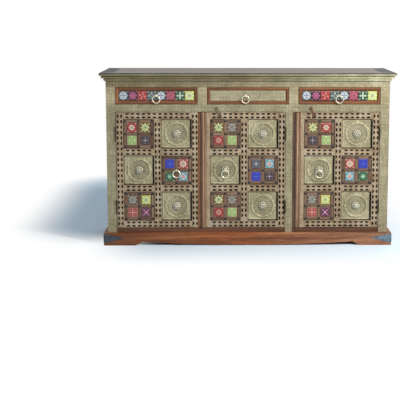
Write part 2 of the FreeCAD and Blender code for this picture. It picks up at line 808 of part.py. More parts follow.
def ring_master():
    """Pull ring that hangs from the origin."""
    return bundle(
        "ring_master", [ring("ring_wire", "ring_radius", "ring_wire", "0", "0", "-ring_radius", "y")]
    )


def hinge_masters(hand):
    """Frame leaf, door leaf and pin round the Z axis; the frame is on the side of hand, -1 or 1."""
    word = "left" if hand < 0 else "right"
    back = "hinge_barrel + hinge_clear"
    gap_edge = "door_gap / 2"
    step = "knuckle + hinge_clear"

    def leaf(name, sign, levels):
        """Plate beside the gap, with barrels at levels; the plate is on the sign side of the axis."""
        x = f"-({gap_edge})" if sign < 0 else f"{gap_edge} - hinge_leaf"
        parts = [
            block(
                f"{name}_plate",
                x,
                back,
                "-hinge_length / 2",
                "hinge_leaf",
                "hinge_leaf_depth",
                "hinge_length",
            ),
        ]
        holes = []
        for level in levels:
            z = f"-hinge_length / 2 + {level} * ({step})"
            parts.append(rod(f"{name}_barrel_{level}", "hinge_barrel", "knuckle", "0", "0", z))
            parts.append(block(f"{name}_tab_{level}", x, "0", z, "hinge_leaf", back, "knuckle"))
            bore = "hinge_pin + hinge_bore_play"
            holes.append(
                rod(f"{name}_bore_{level}", bore, "knuckle + 2 * overrun", "0", "0", f"{z} - overrun")
            )
        return cut(name, fuse(f"{name}_whole", *parts), *holes)

    frame_leaf = leaf(f"hinge_{word}_frame", hand, (0, 2))
    door_leaf = leaf(f"hinge_{word}_door", -hand, (1,))
    return frame_leaf, door_leaf


def pin_master():
    """Hinge pin with a button at each end."""
    shaft = rod(
        "pin_shaft",
        "hinge_pin",
        "hinge_length + 2 * hinge_clear",
        "0",
        "0",
        "-hinge_length / 2 - hinge_clear",
    )
    upper = rod("pin_upper", "hinge_tip_radius", "hinge_tip", "0", "0", "hinge_length / 2 + hinge_clear")
    lower = rod(
        "pin_lower", "hinge_tip_radius", "hinge_tip", "0", "0", "-hinge_length / 2 - hinge_clear - hinge_tip"
    )
    return fuse("pin_master", shaft, upper, lower)


def hasp_masters():
    """Hasp that stands on the X axis, and the plate with ears and pin that carries it."""
    half_barrel = "hasp_bar / 2"
    low = "0"
    bar = block(
        "hasp_bar", f"-{half_barrel}", low, "0", "hasp_bar", "hasp_thickness", "hasp_length - hasp_eye"
    )
    loop = rod("hasp_loop", "hasp_loop", "hasp_thickness", "0", low, "hasp_length", "y")
    barrel = rod("hasp_barrel", "hasp_barrel", "hasp_bar", f"-{half_barrel}", "0", "0", "x")
    hole = rod(
        "hasp_hole", "hasp_eye", "hasp_thickness + 2 * overrun", "0", f"{low} - overrun", "hasp_length", "y"
    )
    bore_radius = "hasp_pin + hinge_bore_play"
    bore = rod("hasp_bore", bore_radius, "hasp_bar + 2 * overrun", f"-{half_barrel} - overrun", "0", "0", "x")
    hasp = cut("hasp_master", fuse("hasp_whole", bar, loop, barrel), hole, bore)
    ear_start = f"{half_barrel} + hasp_ear_gap"
    width = f"2 * ({ear_start} + hasp_ear)"
    parts = [
        block(
            "hasp_plate",
            f"-({width}) / 2",
            "hasp_stand - hasp_plate",
            "hasp_barrel - hasp_plate_height",
            width,
            "hasp_plate",
            "hasp_plate_height",
        )
    ]
    for name, x in (("left", f"-({ear_start}) - hasp_ear"), ("right", ear_start)):
        parts.append(rod(f"ear_{name}", "hasp_barrel", "hasp_ear", x, "0", "0", "x"))
        parts.append(
            block(f"ear_{name}_root", x, "0", "-hasp_barrel", "hasp_ear", "hasp_stand", "2 * hasp_barrel")
        )
    parts.append(rod("hasp_pin", "hasp_pin", width, f"-({width}) / 2", "0", "0", "x"))
    return hasp, fuse("hasp_bracket_master", *parts)


def staple_master():
    """Staple that a hasp drops over, with its legs along Y from the rail's face at the origin."""
    legs = [
        rod(
            f"staple_leg_{i}",
            "staple_wire",
            "staple_reach",
            f"{sign}staple_radius",
            "-staple_reach",
            "0",
            "y",
        )
        for i, sign in enumerate(("-", ""))
    ]
    bow = doc.addObject("Part::Torus", "staple_bow")
    bind(bow, Radius1="staple_radius", Radius2="staple_wire")
    bow.Angle3 = 180
    bow.Placement = Placement(Vector(), Rotation(Vector(0, 0, 1), 180))
    place(bow, "0", "-staple_reach", "0")
    return fuse("staple_master", *legs, bow)


# Doors.
def carved_strip(name, x, z, width, height):
    """A strip whose face has two rows of chip-carved triangles, with their points to its middle line."""
    upright = size(height) > size(width)
    length, across = (size(height), size(width)) if upright else (size(width), size(height))
    outer, inner, depth = size("notch_outer"), size("notch_inner"), size("notch_depth")
    base, pitch, overrun = size("notch_base"), size("notch_pitch"), size("overrun")
    count = max(1, int((length - 2 * size("notch_margin")) // pitch))
    strip = Part.makeBox(length, size("strip_thickness"), across, Vector(-length / 2, 0, -across / 2))
    chips = []
    for i in range(count):
        middle = (i - (count - 1) / 2) * pitch
        for hand in (-1, 1):
            deep = Vector(middle, depth, hand * (2 * outer + inner) / 3)
            mouth = [
                Vector(middle - base / 2, 0, hand * outer),
                Vector(middle + base / 2, 0, hand * outer),
                Vector(middle, 0, hand * inner),
            ]
            mouth = [deep + (corner - deep) * ((depth + overrun) / depth) for corner in mouth]
            sides = [
                [mouth[0], mouth[1], deep], [mouth[1], mouth[2], deep], [mouth[2], mouth[0], deep], mouth
            ]
            faces = [Part.Face(Part.makePolygon([*side, side[0]])) for side in sides]
            chips.append(Part.makeSolid(Part.makeShell(faces)))
    thing = doc.addObject("Part::Feature", name)
    thing.Shape = strip.cut(Part.makeCompound(chips))
    centre = Vector(size(x) + size(width) / 2, size("front"), size(z) + size(height) / 2)
    turn = Rotation(Vector(0, 1, 0), 90) if upright else Rotation()
    thing.Placement = Placement(centre, turn)
    return thing


class Door:
    """Places on one door, from its name, its low X and the side of its hinges."""

    def __init__(self, name, x, hand):
        self.name, self.x, self.hand = name, x, hand
        first = "strip_width" if hand < 0 else "free_side"
        self.columns = [f"{x} + {first}", f"{x} + {first} + panel_width + strip_width"]
        self.rows = [f"door_bottom + strip_width + {i} * panel_step" for i in range(3)]
        self.hinge_strip = x if hand < 0 else f"{x} + door_width - strip_width"
        self.free_x = f"{x} + door_width - free_side" if hand < 0 else x
        self.axis_x = f"{x} - door_gap / 2" if hand < 0 else f"{x} + door_width + door_gap / 2"

    def centre(self, column, row):
        return f"{self.columns[column]} + panel_width / 2", f"{self.rows[row]} + panel_height / 2"

    def has_tiles(self, column, row):
        """Tiles and brass alternate; row 0 is the lowest."""
        return (column + row) % 2 == 0


def door_frame(door):
    """Stiles, rails and muntins, and the board in each of the six openings."""
    name = door.name
    y, depth = "front + strip_thickness", "frame_thickness"
    rail_x = door.columns[0]
    rail_width = "2 * panel_width + strip_width"
    parts = [
        block(f"{name}_hinge_stile", door.hinge_strip, y, "door_bottom", "strip_width", depth, "door_height"),
        block(f"{name}_free_stile", door.free_x, y, "door_bottom", "free_side", depth, "door_height"),
    ]
    for i in range(4):
        z = f"door_bottom + {i} * panel_step"
        parts.append(block(f"{name}_rail_{i}", rail_x, y, z, rail_width, depth, "strip_width"))
    for i, z in enumerate(door.rows):
        muntin_x = f"{rail_x} + panel_width"
        parts.append(block(f"{name}_muntin_{i}", muntin_x, y, z, "strip_width", depth, "panel_height"))
        for j, x in enumerate(door.columns):
            tiled = door.has_tiles(j, i)
            recess = "tile_board_recess" if tiled else "brass_recess + brass_sheet"
            board = block(
                f"{name}_board_{j}_{i}",
                x,
                f"front + {recess}",
                z,
                "panel_width",
                f"panel_back - {recess}",
                "panel_height",
            )
            parts.append(
                cut(f"{name}_tile_board_{j}_{i}", board, *tile_pockets(door, j, i)) if tiled else board
            )
    if door.hand < 0:
        lip_x = f"{door.free_x} + free_side - lip_width"
        parts.append(
            block(f"{name}_lip", lip_x, "front", "door_bottom", "lip_width", "strip_thickness", "door_height")
        )
    node(f"{name}_frame", *parts)


def tile_places(door, column, row):
    x, z = door.centre(column, row)
    signs = (("-", "+"), ("+", "+"), ("-", "-"), ("+", "-"))
    return [(f"{x} {a} tile_pitch_x / 2", f"{z} {b} tile_pitch_z / 2") for a, b in signs]


def tile_pockets(door, column, row):
    wide, tall = "tile_width + 2 * tile_play", "tile_height + 2 * tile_play"
    return [
        block(
            f"{door.name}_pocket_{column}_{row}_{i}",
            f"{x} - ({wide}) / 2",
            "front + tile_board_recess - overrun",
            f"{z} - ({tall}) / 2",
            wide,
            "tile_seat + overrun",
            tall,
        )
        for i, (x, z) in enumerate(tile_places(door, column, row))
    ]


def door_faces(door, tile, medallion):
    """Carved strips over the frame, tiles in their pockets and brass panels."""
    name = door.name
    rail_x = door.columns[0]
    rail_width = "2 * panel_width + strip_width"
    muntin_x = f"{rail_x} + panel_width"
    strips = [
        carved_strip(f"{name}_strip_hinge", door.hinge_strip, "door_bottom", "strip_width", "door_height")
    ]
    for i in (0, 3):
        z = f"door_bottom + {i} * panel_step"
        strips.append(carved_strip(f"{name}_strip_{i}", rail_x, z, rail_width, "strip_width"))
    inner = "door_height - 2 * strip_width"
    strips.append(carved_strip(f"{name}_strip_middle", muntin_x, door.rows[0], "strip_width", inner))
    for i in (1, 2):
        z = f"door_bottom + {i} * panel_step"
        for j, x in enumerate(door.columns):
            strips.append(carved_strip(f"{name}_strip_{i}_{j}", x, z, "panel_width", "strip_width"))
    if door.hand < 0:
        width = "free_side - lip_width"
        free = carved_strip(f"{name}_strip_free", door.free_x, "door_bottom", width, "door_height")
    else:
        x = f"{door.free_x} + astragal_width"
        width = "free_side - astragal_width"
        free = block(f"{name}_strip_free", x, "front", "door_bottom", width, "strip_thickness", "door_height")
    node(f"{name}_lattice", *strips, free)
    tiles, panels = [], []
    for j in range(2):
        for i in range(3):
            x, z = door.centre(j, i)
            if door.has_tiles(j, i):
                for k, (tx, tz) in enumerate(tile_places(door, j, i)):
                    y = "front + tile_board_recess + tile_seat - tile_thickness"
                    tiles.append(copy_of(f"{name}_tile_{j}_{i}_{k}", tile, tx, y, tz))
            else:
                panels.append(copy_of(f"{name}_panel_{j}_{i}", medallion, x, "front + brass_recess", z))
    node(f"{name}_tiles", *tiles)
    node(f"{name}_brass_panels", *panels)


def astragal(door):
    """Rounded wooden bead on the opening edge."""
    edge = [
        ("0", "strip_thickness"),
        ("0", "0"),
        ("astragal_fillet", "0", "astragal_width / 2", 1),
        ("astragal_width / 2", "-astragal_lift", "astragal_width / 2", 1),
        ("astragal_width - astragal_fillet", "0"),
        ("astragal_width", "0"),
        ("astragal_width", "strip_thickness"),
    ]
    flip = [(c[0], c[1], c[2], -c[3]) if len(c) > 2 else c for c in edge]
    body = extruded(f"{door.name}_bead", "XY_Plane", flip, "door_height")
    node(f"{door.name}_astragal", place(body, door.x, "front", "door_bottom"))


def pull(name, x, face, z, eye, loop):
    """Eye on a face and the ring that hangs in it."""
    y = f"{face} - eye_stand"
    node(f"{name}_ring_eye", copy_of(f"{name}_eye", eye, x, y, z))
    node(f"{name}_ring", copy_of(f"{name}_pull", loop, x, y, z))


def doors():
    tile, medallion = tile_master("door_tile", "tile_width", "tile_height"), medallion_master()
    eye, loop, pin = eye_master(), ring_master(), pin_master()
    hasp, bracket = hasp_masters()
    staple = staple_master()
    hinges = {hand: hinge_masters(hand) for hand in (-1, 1)}
    frame_iron, staples = [], []
    for door in (
        Door("door_left", "left_x", -1), Door("door_middle", "middle_x", 1), Door("door_right", "right_x", 1)
    ):
        door_frame(door)
        door_faces(door, tile, medallion)
        iron = []
        frame_leaf, door_leaf = hinges[door.hand]
        levels = ("door_bottom + hinge_inset", "door_bottom + door_height - hinge_inset")
        for i, z in enumerate(levels):
            at = (door.axis_x, "hinge_axis", z)
            frame_iron.append(copy_of(f"{door.name}_frame_leaf_{i}", frame_leaf, *at))
            iron.append(copy_of(f"{door.name}_door_leaf_{i}", door_leaf, *at))
            iron.append(copy_of(f"{door.name}_pin_{i}", pin, *at))
        column = 1 if door.hand < 0 else 0
        x, z = door.centre(column, 1)
        face = "front + tile_board_recess" if door.has_tiles(
            column, 1
        ) else "front + brass_recess - boss_lift"
        pull(door.name, x, face, z, eye, loop)
        if door.hand > 0:
            astragal(door)
            lean = Rotation(Vector(0, 1, 0), -size("hasp_lean"))
            x, y, z = f"{door.x} + hasp_inset", "front - hasp_stand", "door_bottom + door_height - hasp_drop"
            node(f"{door.name}_hasp", copy_of(f"{door.name}_hasp_copy", hasp, x, y, z, lean))
            iron.append(copy_of(f"{door.name}_bracket", bracket, x, y, z, lean))
            loop_x = f"{x} - hasp_length * sin(hasp_lean * 1deg)"
            loop_z = f"{z} + hasp_length * cos(hasp_lean * 1deg)"
            staples.append(copy_of(f"{door.name}_staple", staple, loop_x, "front", loop_z))
        node(f"{door.name}_ironwork", *iron)
    node("hinge_leaves", *frame_iron)
    node("latch_staples", *staples)
    return eye, loop


# Drawers.
def drawer(name, bay, tiled, tile, eye, loop):
    x = f"post_width - half + {bay} * bay_step"
    centre = f"{x} + bay_width / 2"
    low = (f"{x} + drawer_gap", "drawer_floor + drawer_gap")
    high = (f"{x} + bay_width - drawer_gap", "frieze_under - drawer_gap")
    front_width, front_height = "bay_width - 2 * drawer_gap", "drawer_opening_height - 2 * drawer_gap"
    board_y = "front + drawer_frame_thickness"
    bars = mitred_frame(
        f"{name}_bar", "XZ_Plane", low, high, "drawer_front_frame", "drawer_frame_thickness", True
    )
    for bar in bars:
        place(bar, "0", "front", "0")
    board = block(f"{name}_board", low[0], board_y, low[1], front_width, "drawer_board", front_height)
    node(f"{name}_front", board, *bars)
    box_x, box_width = f"{x} + drawer_play", "bay_width - 2 * drawer_play"
    length = "drawer_box_back - drawer_box_front"
    inner_x, inner_width = f"{box_x} + drawer_wall", f"{box_width} - 2 * drawer_wall"
    z, tall = "drawer_box_floor", "drawer_wall_height"
    far_x = f"{box_x} + {box_width} - drawer_wall"
    node(
        f"{name}_box",
        block(f"{name}_side_0", box_x, "drawer_box_front", z, "drawer_wall", length, tall),
        block(f"{name}_side_1", far_x, "drawer_box_front", z, "drawer_wall", length, tall),
        block(f"{name}_rear", inner_x, "drawer_box_back - drawer_wall", z, inner_width, "drawer_wall", tall),
        block(
            f"{name}_base",
            inner_x,
            "drawer_box_front",
            z,
            inner_width,
            f"{length} - drawer_wall",
            "drawer_bottom",
        ),
    )
    face_x = f"{low[0]} + drawer_front_frame"
    face_z = f"{low[1]} + drawer_front_frame"
    face_y = f"{board_y} - drawer_face"
    middle_z = f"{low[1]} + ({front_height}) / 2"
    if tiled:
        pitch = "drawer_tile + drawer_tile_gap"
        count = int(size("face_width") // size(pitch))
        tiles = [
            copy_of(
                f"{name}_tile_{i}",
                tile,
                f"{centre} + {i - (count - 1) / 2} * ({pitch})",
                f"{board_y} - tile_thickness",
                middle_z,
            )
            for i in range(count)
        ]
        node(f"{name}_tiles", *tiles)
        face = f"{board_y} - tile_thickness"
    else:
        node(
            f"{name}_brass_panel",
            block(f"{name}_sheet", face_x, face_y, face_z, "face_width", "drawer_face", "face_height"),
        )
        face = face_y
    pull_x = centre if tiled else f"{centre} - middle_pull_offset"
    pull(name, pull_x, face, middle_z, eye, loop)


def check():
    for thing in doc.Objects:
        faults = {"Invalid", "Error"} & set(thing.State)
        if faults:
            raise SystemExit(f"{thing.Name} is {faults}")
    for label, thing in nodes.items():
        shape = thing.Shape
        if shape.isNull() or not shape.isValid() or not shape.Solids:
            raise SystemExit(f"{label} has no valid solid")


def main():
    fill_sheet()
    carcass()
    shelves()
    top()
    cornice()
    plinth()
    corner_straps()
    front_frame()
    eye, loop = doors()
    tile = tile_master("drawer_tile", "drawer_tile", "drawer_tile")
    for bay, (name, tiled) in enumerate(
        (("drawer_left", True), ("drawer_middle", False), ("drawer_right", True))
    ):
        drawer(name, bay, tiled, tile, eye, loop)
    doc.recompute()
    check()
    os.makedirs("parts", exist_ok=True)
    for label, thing in nodes.items():
        thing.Shape.exportStep(f"parts/{label}.step")
    print(f"{len(nodes)} sub-parts, {sum(len(n.Shape.Solids) for n in nodes.values())} solids")


main()
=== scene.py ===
# %% [markdown]
# This lesson dresses a long sideboard: dark polished wood, a front clad in old brass sheet, chip-carved
# strips, embossed medallions and small glazed tiles. Its working frame, with hinges, slides and rings,
# is already measured and packed. Every piece made here sits where that frame says, so nothing has to be
# fitted by eye. Lengths are metres, the front looks towards minus Y and Z points up.

# %% Load the measured frame
import bpy
import math
import random
from mathutils import Matrix, Vector


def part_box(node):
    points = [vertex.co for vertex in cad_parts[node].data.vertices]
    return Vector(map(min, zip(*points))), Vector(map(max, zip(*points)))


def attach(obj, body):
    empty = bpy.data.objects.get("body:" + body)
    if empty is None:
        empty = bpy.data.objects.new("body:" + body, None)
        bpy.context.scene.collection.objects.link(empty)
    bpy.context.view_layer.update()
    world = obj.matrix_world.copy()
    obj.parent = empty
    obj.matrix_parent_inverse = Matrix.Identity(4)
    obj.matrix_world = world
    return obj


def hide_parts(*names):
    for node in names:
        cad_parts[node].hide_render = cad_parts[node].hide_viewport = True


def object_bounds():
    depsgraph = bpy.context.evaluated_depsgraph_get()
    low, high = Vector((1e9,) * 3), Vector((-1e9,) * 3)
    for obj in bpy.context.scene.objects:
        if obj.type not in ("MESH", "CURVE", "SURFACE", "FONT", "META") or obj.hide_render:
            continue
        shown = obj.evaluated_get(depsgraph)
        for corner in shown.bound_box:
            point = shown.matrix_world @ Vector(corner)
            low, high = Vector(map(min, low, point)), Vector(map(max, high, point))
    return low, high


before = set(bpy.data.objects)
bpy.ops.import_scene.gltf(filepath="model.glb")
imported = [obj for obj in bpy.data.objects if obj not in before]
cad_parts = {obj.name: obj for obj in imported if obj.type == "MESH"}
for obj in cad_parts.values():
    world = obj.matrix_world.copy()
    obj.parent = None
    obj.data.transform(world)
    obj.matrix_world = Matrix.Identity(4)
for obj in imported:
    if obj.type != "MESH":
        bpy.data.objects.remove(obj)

frame_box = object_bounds()
scene = bpy.context.scene
scene.view_settings.view_transform = "Standard"

# %% [markdown]
# The photograph was taken from the front, a little left of the middle and above the top, with a long
# lens. A camera needs a place, three turns and a focal length. The focal length is easiest to think of
# in pixels of the 400 pixel picture, and the lens shift slides the picture without turning the camera.

# %% Place the camera
PICTURE_SIDE = 400
SENSOR_WIDTH = 36.0
FOCAL_PIXELS = 934
MIDDLE_PIXEL = (244.1, 130)
CAMERA_PLACE = Vector((-0.092, -5.015, 1.246))
CAMERA_YAW, CAMERA_DIP, CAMERA_ROLL = (math.radians(turn) for turn in (0.85, 7.48, 0.09))

camera = bpy.data.objects.new("camera", bpy.data.cameras.new("camera"))
scene.collection.objects.link(camera)
scene.camera = camera
camera.data.sensor_width = SENSOR_WIDTH
camera.data.lens = FOCAL_PIXELS * SENSOR_WIDTH / PICTURE_SIDE
camera.data.shift_x = 0.5 - MIDDLE_PIXEL[0] / PICTURE_SIDE
camera.data.shift_y = MIDDLE_PIXEL[1] / PICTURE_SIDE - 0.5
level = Matrix.Rotation(math.pi / 2 - CAMERA_DIP, 4, "X") @ Matrix.Rotation(CAMERA_ROLL, 4, "Z")
camera.matrix_world = Matrix.Translation(CAMERA_PLACE) @ Matrix.Rotation(-CAMERA_YAW, 4, "Z") @ level
print("camera lens in mm:", round(camera.data.lens, 1))

# %% [markdown]
# Many finishes follow, so a small helper keeps each one short. It holds one material, and its words add
# a node and wire it up: a value that is a socket is linked, and anything else is typed into the input.
# Colours are written the way a picture editor shows them and turned into the linear light that shaders
# work with.

# %% A helper for finishes
def paint(red, green, blue):
    def linear(part):
        part = part / 255
        return part / 12.92 if part <= 0.04045 else ((part + 0.055) / 1.055) ** 2.4
    return (linear(red), linear(green), linear(blue), 1.0)


class Finish:
    """One material, with short words that add a node and return its output."""

    def __init__(self, name, **settings):
        self.material = bpy.data.materials.new(name)
        self.material.use_nodes = True
        self.tree = self.material.node_tree
        self.shader = self.tree.nodes["Principled BSDF"]
        self.set(**settings)

    def feed(self, socket, value):
        if isinstance(value, bpy.types.NodeSocket):
            self.tree.links.new(value, socket)
        else:
            socket.default_value = value

    def set(self, **settings):
        for words, value in settings.items():
            self.feed(self.shader.inputs[words.replace("_", " ")], value)

    def node(self, kind, inputs=None, **options):
        made = self.tree.nodes.new("ShaderNode" + kind)
        for option, value in options.items():
            setattr(made, option, value)
        for key, value in (inputs or {}).items():
            self.feed(made.inputs[key], value)
        return made


print("helper ready:", Finish.__name__)

# %% [markdown]
# Wood, brass, iron and glaze need the same few nodes again and again: sums, blends, noise, ramps and
# bumps. Wiring each by hand would take a page for every finish. A short word for each kind keeps a finish
# readable from top to bottom, like a list of coats.

# %% Words for the common nodes
class Recipe(Finish):
    """A finish with words for the nodes that most surfaces need."""

    def sum(self, operation, *values):
        inputs = dict(enumerate(values))
        return self.node("Math", inputs, operation=operation).outputs[0]

    def blend(self, factor, under, over, mode="MIX"):
        inputs = {"Factor": factor, 6: under, 7: over}
        return self.node("Mix", inputs, data_type="RGBA", blend_type=mode).outputs[2]

    def range(self, value, low, high, to_low=0.0, to_high=1.0):
        inputs = {"Value": value, "From Min": low, "From Max": high, "To Min": to_low, "To Max": to_high}
        return self.node("MapRange", inputs, interpolation_type="SMOOTHSTEP").outputs[0]

    def noise(self, place, scale, detail=3.0, roughness=0.55, distortion=0.0):
        inputs = {"Vector": place, "Scale": scale, "Detail": detail, "Roughness": roughness,
                  "Distortion": distortion}
        return self.node("TexNoise", inputs).outputs["Fac"]

    def dimples(self, place, scale):
        inputs = {"Vector": place, "Scale": scale}
        return self.node("TexVoronoi", inputs, feature="SMOOTH_F1").outputs["Distance"]

    def stretch(self, place, scale):
        return self.node("Mapping", {"Vector": place, "Scale": scale}).outputs[0]

    def ramp(self, value, *stops):
        made = self.node("ValToRGB", {"Fac": value})
        points = made.color_ramp.elements
        while len(points) < len(stops):
            points.new(0.5)
        for point, (place, colour) in zip(points, stops):
            point.position = place
            point.color = colour
        return made.outputs[0]

    def relief(self, *layers):
        bumped = None
        for height, depth in layers:
            inputs = {"Height": height, "Distance": depth, "Strength": 1.0}
            if bumped:
                inputs["Normal"] = bumped
            bumped = self.node("Bump", inputs).outputs[0]
        self.feed(self.shader.inputs["Normal"], bumped)

    def place(self, kind="Object"):
        return self.node("TexCoord").outputs[kind]

    def parts(self, place):
        """The x, y and z of a place."""
        return self.node("SeparateXYZ", {0: place}).outputs


print("recipe words ready")

# %% [markdown]
# Old surfaces are never one colour. Three more words multiply a colour by a tone: one tone everywhere,
# the tone that each corner of a piece brings along, or tones that drift from the left end over the middle
# to the right end. The last one paints light: painted shade towards the left end and painted light and
# sheen towards the right, as the lamp at the right would give.

# %% Words for wear and painted light
class Toned(Recipe):
    """A recipe whose colour can be darkened or lightened, by wear and by painted light."""

    def times(self, colour, tone):
        return self.blend(1.0, colour, tone, "MULTIPLY")

    def shaded(self, colour):
        return self.times(colour, self.node("VertexColor", layer_name="shade").outputs["Color"])

    def painted_gradient(self, colour, left, middle, right):
        along = self.range(self.parts(self.place())[0], frame_box[0][0], frame_box[1][0])
        stops = [(place, (*tone, 1.0)) for place, tone in ((0.0, left), (0.5, middle), (1.0, right))]
        return self.times(colour, self.ramp(along, *stops))


print("words for wear ready:", Toned.__name__)

# %% [markdown]
# The studio is a white sweep. Its world gives an even cool light, which fills the shadows and makes them
# bluish. To the camera and to shiny metal the world is plain white, so the background stays white
# without more light on the object. The light path node tells the two kinds of ray apart.

# %% World
COOL_LIGHT, COOL_STRENGTH = (0.58, 0.82, 1.0, 1.0), 0.30
PURE_WHITE = (1.0, 1.0, 1.0, 1.0)


def seen_or_mirrored(tree):
    """1 for what the camera sees straight or in a mirror, 0 for light on its way to a surface."""
    ray = tree.nodes.new("ShaderNodeLightPath")
    seen = ray.outputs["Is Camera Ray"]
    for other in ("Is Glossy Ray", "Is Transmission Ray"):
        either = tree.nodes.new("ShaderNodeMath")
        either.operation = "MAXIMUM"
        tree.links.new(seen, either.inputs[0])
        tree.links.new(ray.outputs[other], either.inputs[1])
        seen = either.outputs[0]
    return seen


def world_light():
    world = bpy.data.worlds.new("white_studio")
    world.use_nodes = True
    tree = world.node_tree
    soft = tree.nodes["Background"]
    soft.inputs["Color"].default_value = COOL_LIGHT
    soft.inputs["Strength"].default_value = COOL_STRENGTH
    white = tree.nodes.new("ShaderNodeBackground")
    white.inputs["Color"].default_value = PURE_WHITE
    choice = tree.nodes.new("ShaderNodeMixShader")
    tree.links.new(seen_or_mirrored(tree), choice.inputs[0])
    tree.links.new(soft.outputs[0], choice.inputs[1])
    tree.links.new(white.outputs[0], choice.inputs[2])
    tree.links.new(choice.outputs[0], tree.nodes["World Output"].inputs["Surface"])
    return world


scene.world = world_light()
print("world:", scene.world.name)

# %% [markdown]
# Three lamps stand in the studio. One is high at the front right, draws the edges of the carving and
# throws the shadow back and to the left. A weak one above the camera and a broad one high behind soften
# it. Area lamps are used because a real softbox is a bright square, and its side sets how soft the edge
# of a shadow is.

# %% Lamps
def softbox(name, place, aim, side, watts, colour):
    lamp = bpy.data.objects.new(name, bpy.data.lights.new(name, "AREA"))
    lamp.data.size = side
    lamp.data.energy = watts
    lamp.data.color = colour
    lamp.location = place
    lamp.rotation_euler = (Vector(aim) - Vector(place)).to_track_quat("-Z", "Y").to_euler()
    scene.collection.objects.link(lamp)
    return lamp


lamps = [softbox("key_lamp", (2.8, -2.5, 2.9), (0.0, 0.0, 0.4), 0.5, 198, (1.0, 0.96, 0.90)),
         softbox("front_lamp", (0.6, -4.4, 2.5), (0.0, 0.0, 0.4), 1.5, 28, (1.0, 0.97, 0.92)),
         softbox("back_lamp", (1.8, 3.0, 4.2), (0.2, 0.0, 0.5), 2.4, 34, (1.0, 0.98, 0.95))]
print("lamps:", [lamp.name for lamp in lamps])

# %% [markdown]
# The floor is one large pale sheet. Close round the foot and behind, where the shadow falls, it is an
# ordinary matt surface. Away from these two rectangles it fades into plain white, so that no horizon line
# shows where floor and world meet. A small share of that white stays in the shadow, as it would from
# the light that bounces about in a white room.

# %% Floor
FLOOR_REACH = 30.0
FOOT_PLACE, FOOT_HALF, FOOT_FADE = (0.10, 0.0, 0.0), (0.54, 0.19, 1.0), (0.0, 0.46)
SHADE_PLACE, SHADE_HALF, SHADE_FADE = (-0.18, 0.865, 0.0), (0.64, 0.575, 1.0), (0.16, 0.56)
BOUNCE = 0.11
FLOOR_PAINT = paint(226, 242, 255)


def floor_finish():
    floor = Recipe("pale_floor", Base_Color=FLOOR_PAINT, Specular_IOR_Level=0.1)
    place = floor.place()

    def vector(rule, first, second=(0.0, 0.0, 0.0)):
        return floor.node("VectorMath", {0: first, 1: second}, operation=rule).outputs

    def away_from(middle, half):
        """How far a place lies outside a rectangle on the floor."""
        offset = vector("ABSOLUTE", vector("SUBTRACT", place, middle)[0])[0]
        outside = vector("MAXIMUM", vector("SUBTRACT", offset, half)[0])[0]
        return vector("LENGTH", outside)["Value"]

    foot = floor.range(away_from(FOOT_PLACE, FOOT_HALF), *FOOT_FADE)
    shade = floor.range(away_from(SHADE_PLACE, SHADE_HALF), *SHADE_FADE, BOUNCE)
    fade = floor.sum("MINIMUM", foot, shade)
    shown = floor.sum("MULTIPLY", fade, seen_or_mirrored(floor.tree))
    speckle = floor.noise(place, 60.0)
    floor.set(Roughness=floor.range(speckle, 0.3, 0.7, 0.85, 0.95))
    white = floor.node("Emission", {"Color": PURE_WHITE, "Strength": 1.0}).outputs[0]
    mixed = floor.node("MixShader", {0: shown, 1: floor.shader.outputs[0], 2: white}).outputs[0]
    floor.feed(floor.tree.nodes["Material Output"].inputs["Surface"], mixed)
    return floor.material


sheet = bpy.data.meshes.new("floor")
reach = (-FLOOR_REACH, FLOOR_REACH)
sheet.from_pydata([(x, y, 0.0) for x in reach for y in reach], [], [(0, 2, 3, 1)])
sheet.materials.append(floor_finish())
floor = bpy.data.objects.new("floor", sheet)
scene.collection.objects.link(floor)
print("floor reaches", FLOOR_REACH, "m each way")

# %% [markdown]
# Pieces are built from faces with a few extra notes on each corner: where it lies along the grain, which
# finish it takes and how dark the dirt in it is. Modelling by hand would lose these notes, so one small
# workbench collects the faces with them. It also turns a face over where it looks the wrong way.

# %% A workbench for pieces
NO_AREA = 1e-12


class Bench:
    """Collects the faces of one piece."""

    def __init__(self):
        self.points, self.faces, self.grain, self.finish, self.shade = [], [], [], [], []

    def face(self, corners, grain=None, finish=0, shade=1.0, outward=None):
        corners = [Vector(corner) for corner in corners]
        grain = grain or [(corner.x, corner.z) for corner in corners]
        shade = list(shade) if isinstance(shade, (list, tuple)) else [shade] * len(corners)
        if outward is not None:
            across = (corners[1] - corners[0]).cross(corners[2] - corners[0])
            if across.length < NO_AREA:
                across = (corners[2] - corners[0]).cross(corners[-1] - corners[0])
            if across.dot(Vector(outward)) < 0:
                corners, grain, shade = corners[::-1], list(grain)[::-1], shade[::-1]
        start = len(self.points)
        self.points.extend(corners)
        self.faces.append(tuple(range(start, start + len(corners))))
        self.grain.extend(grain)
        self.shade.extend(shade)
        self.finish.append(finish)

    def mesh(self, name, finishes):
        made = bpy.data.meshes.new(name)
        made.from_pydata(self.points, [], self.faces)
        for finish in finishes:
            made.materials.append(finish)
        made.polygons.foreach_set("material_index", self.finish)
        layer = made.uv_layers.new(name="grain")
        layer.data.foreach_set("uv", [value for pair in self.grain for value in pair])
        tone = made.color_attributes.new("shade", "FLOAT_COLOR", "CORNER")
        tone.data.foreach_set("color", [value for s in self.shade for value in (s, s, s, 1.0)])
        return made


print("bench ready:", Bench.__name__)

# %% [markdown]
# A finished piece is one welded mesh that rides on a moving body of the frame, such as a door. Welding
# joins the corners that neighbouring faces share. Smooth shading with only the real edges kept sharp lets
# round things look round without more faces. Each piece also hides the frame parts it stands in for.

# %% From faces to a piece that rides on a body
import bmesh

WELD = 0.000005
SHARP_ANGLE = math.radians(38)


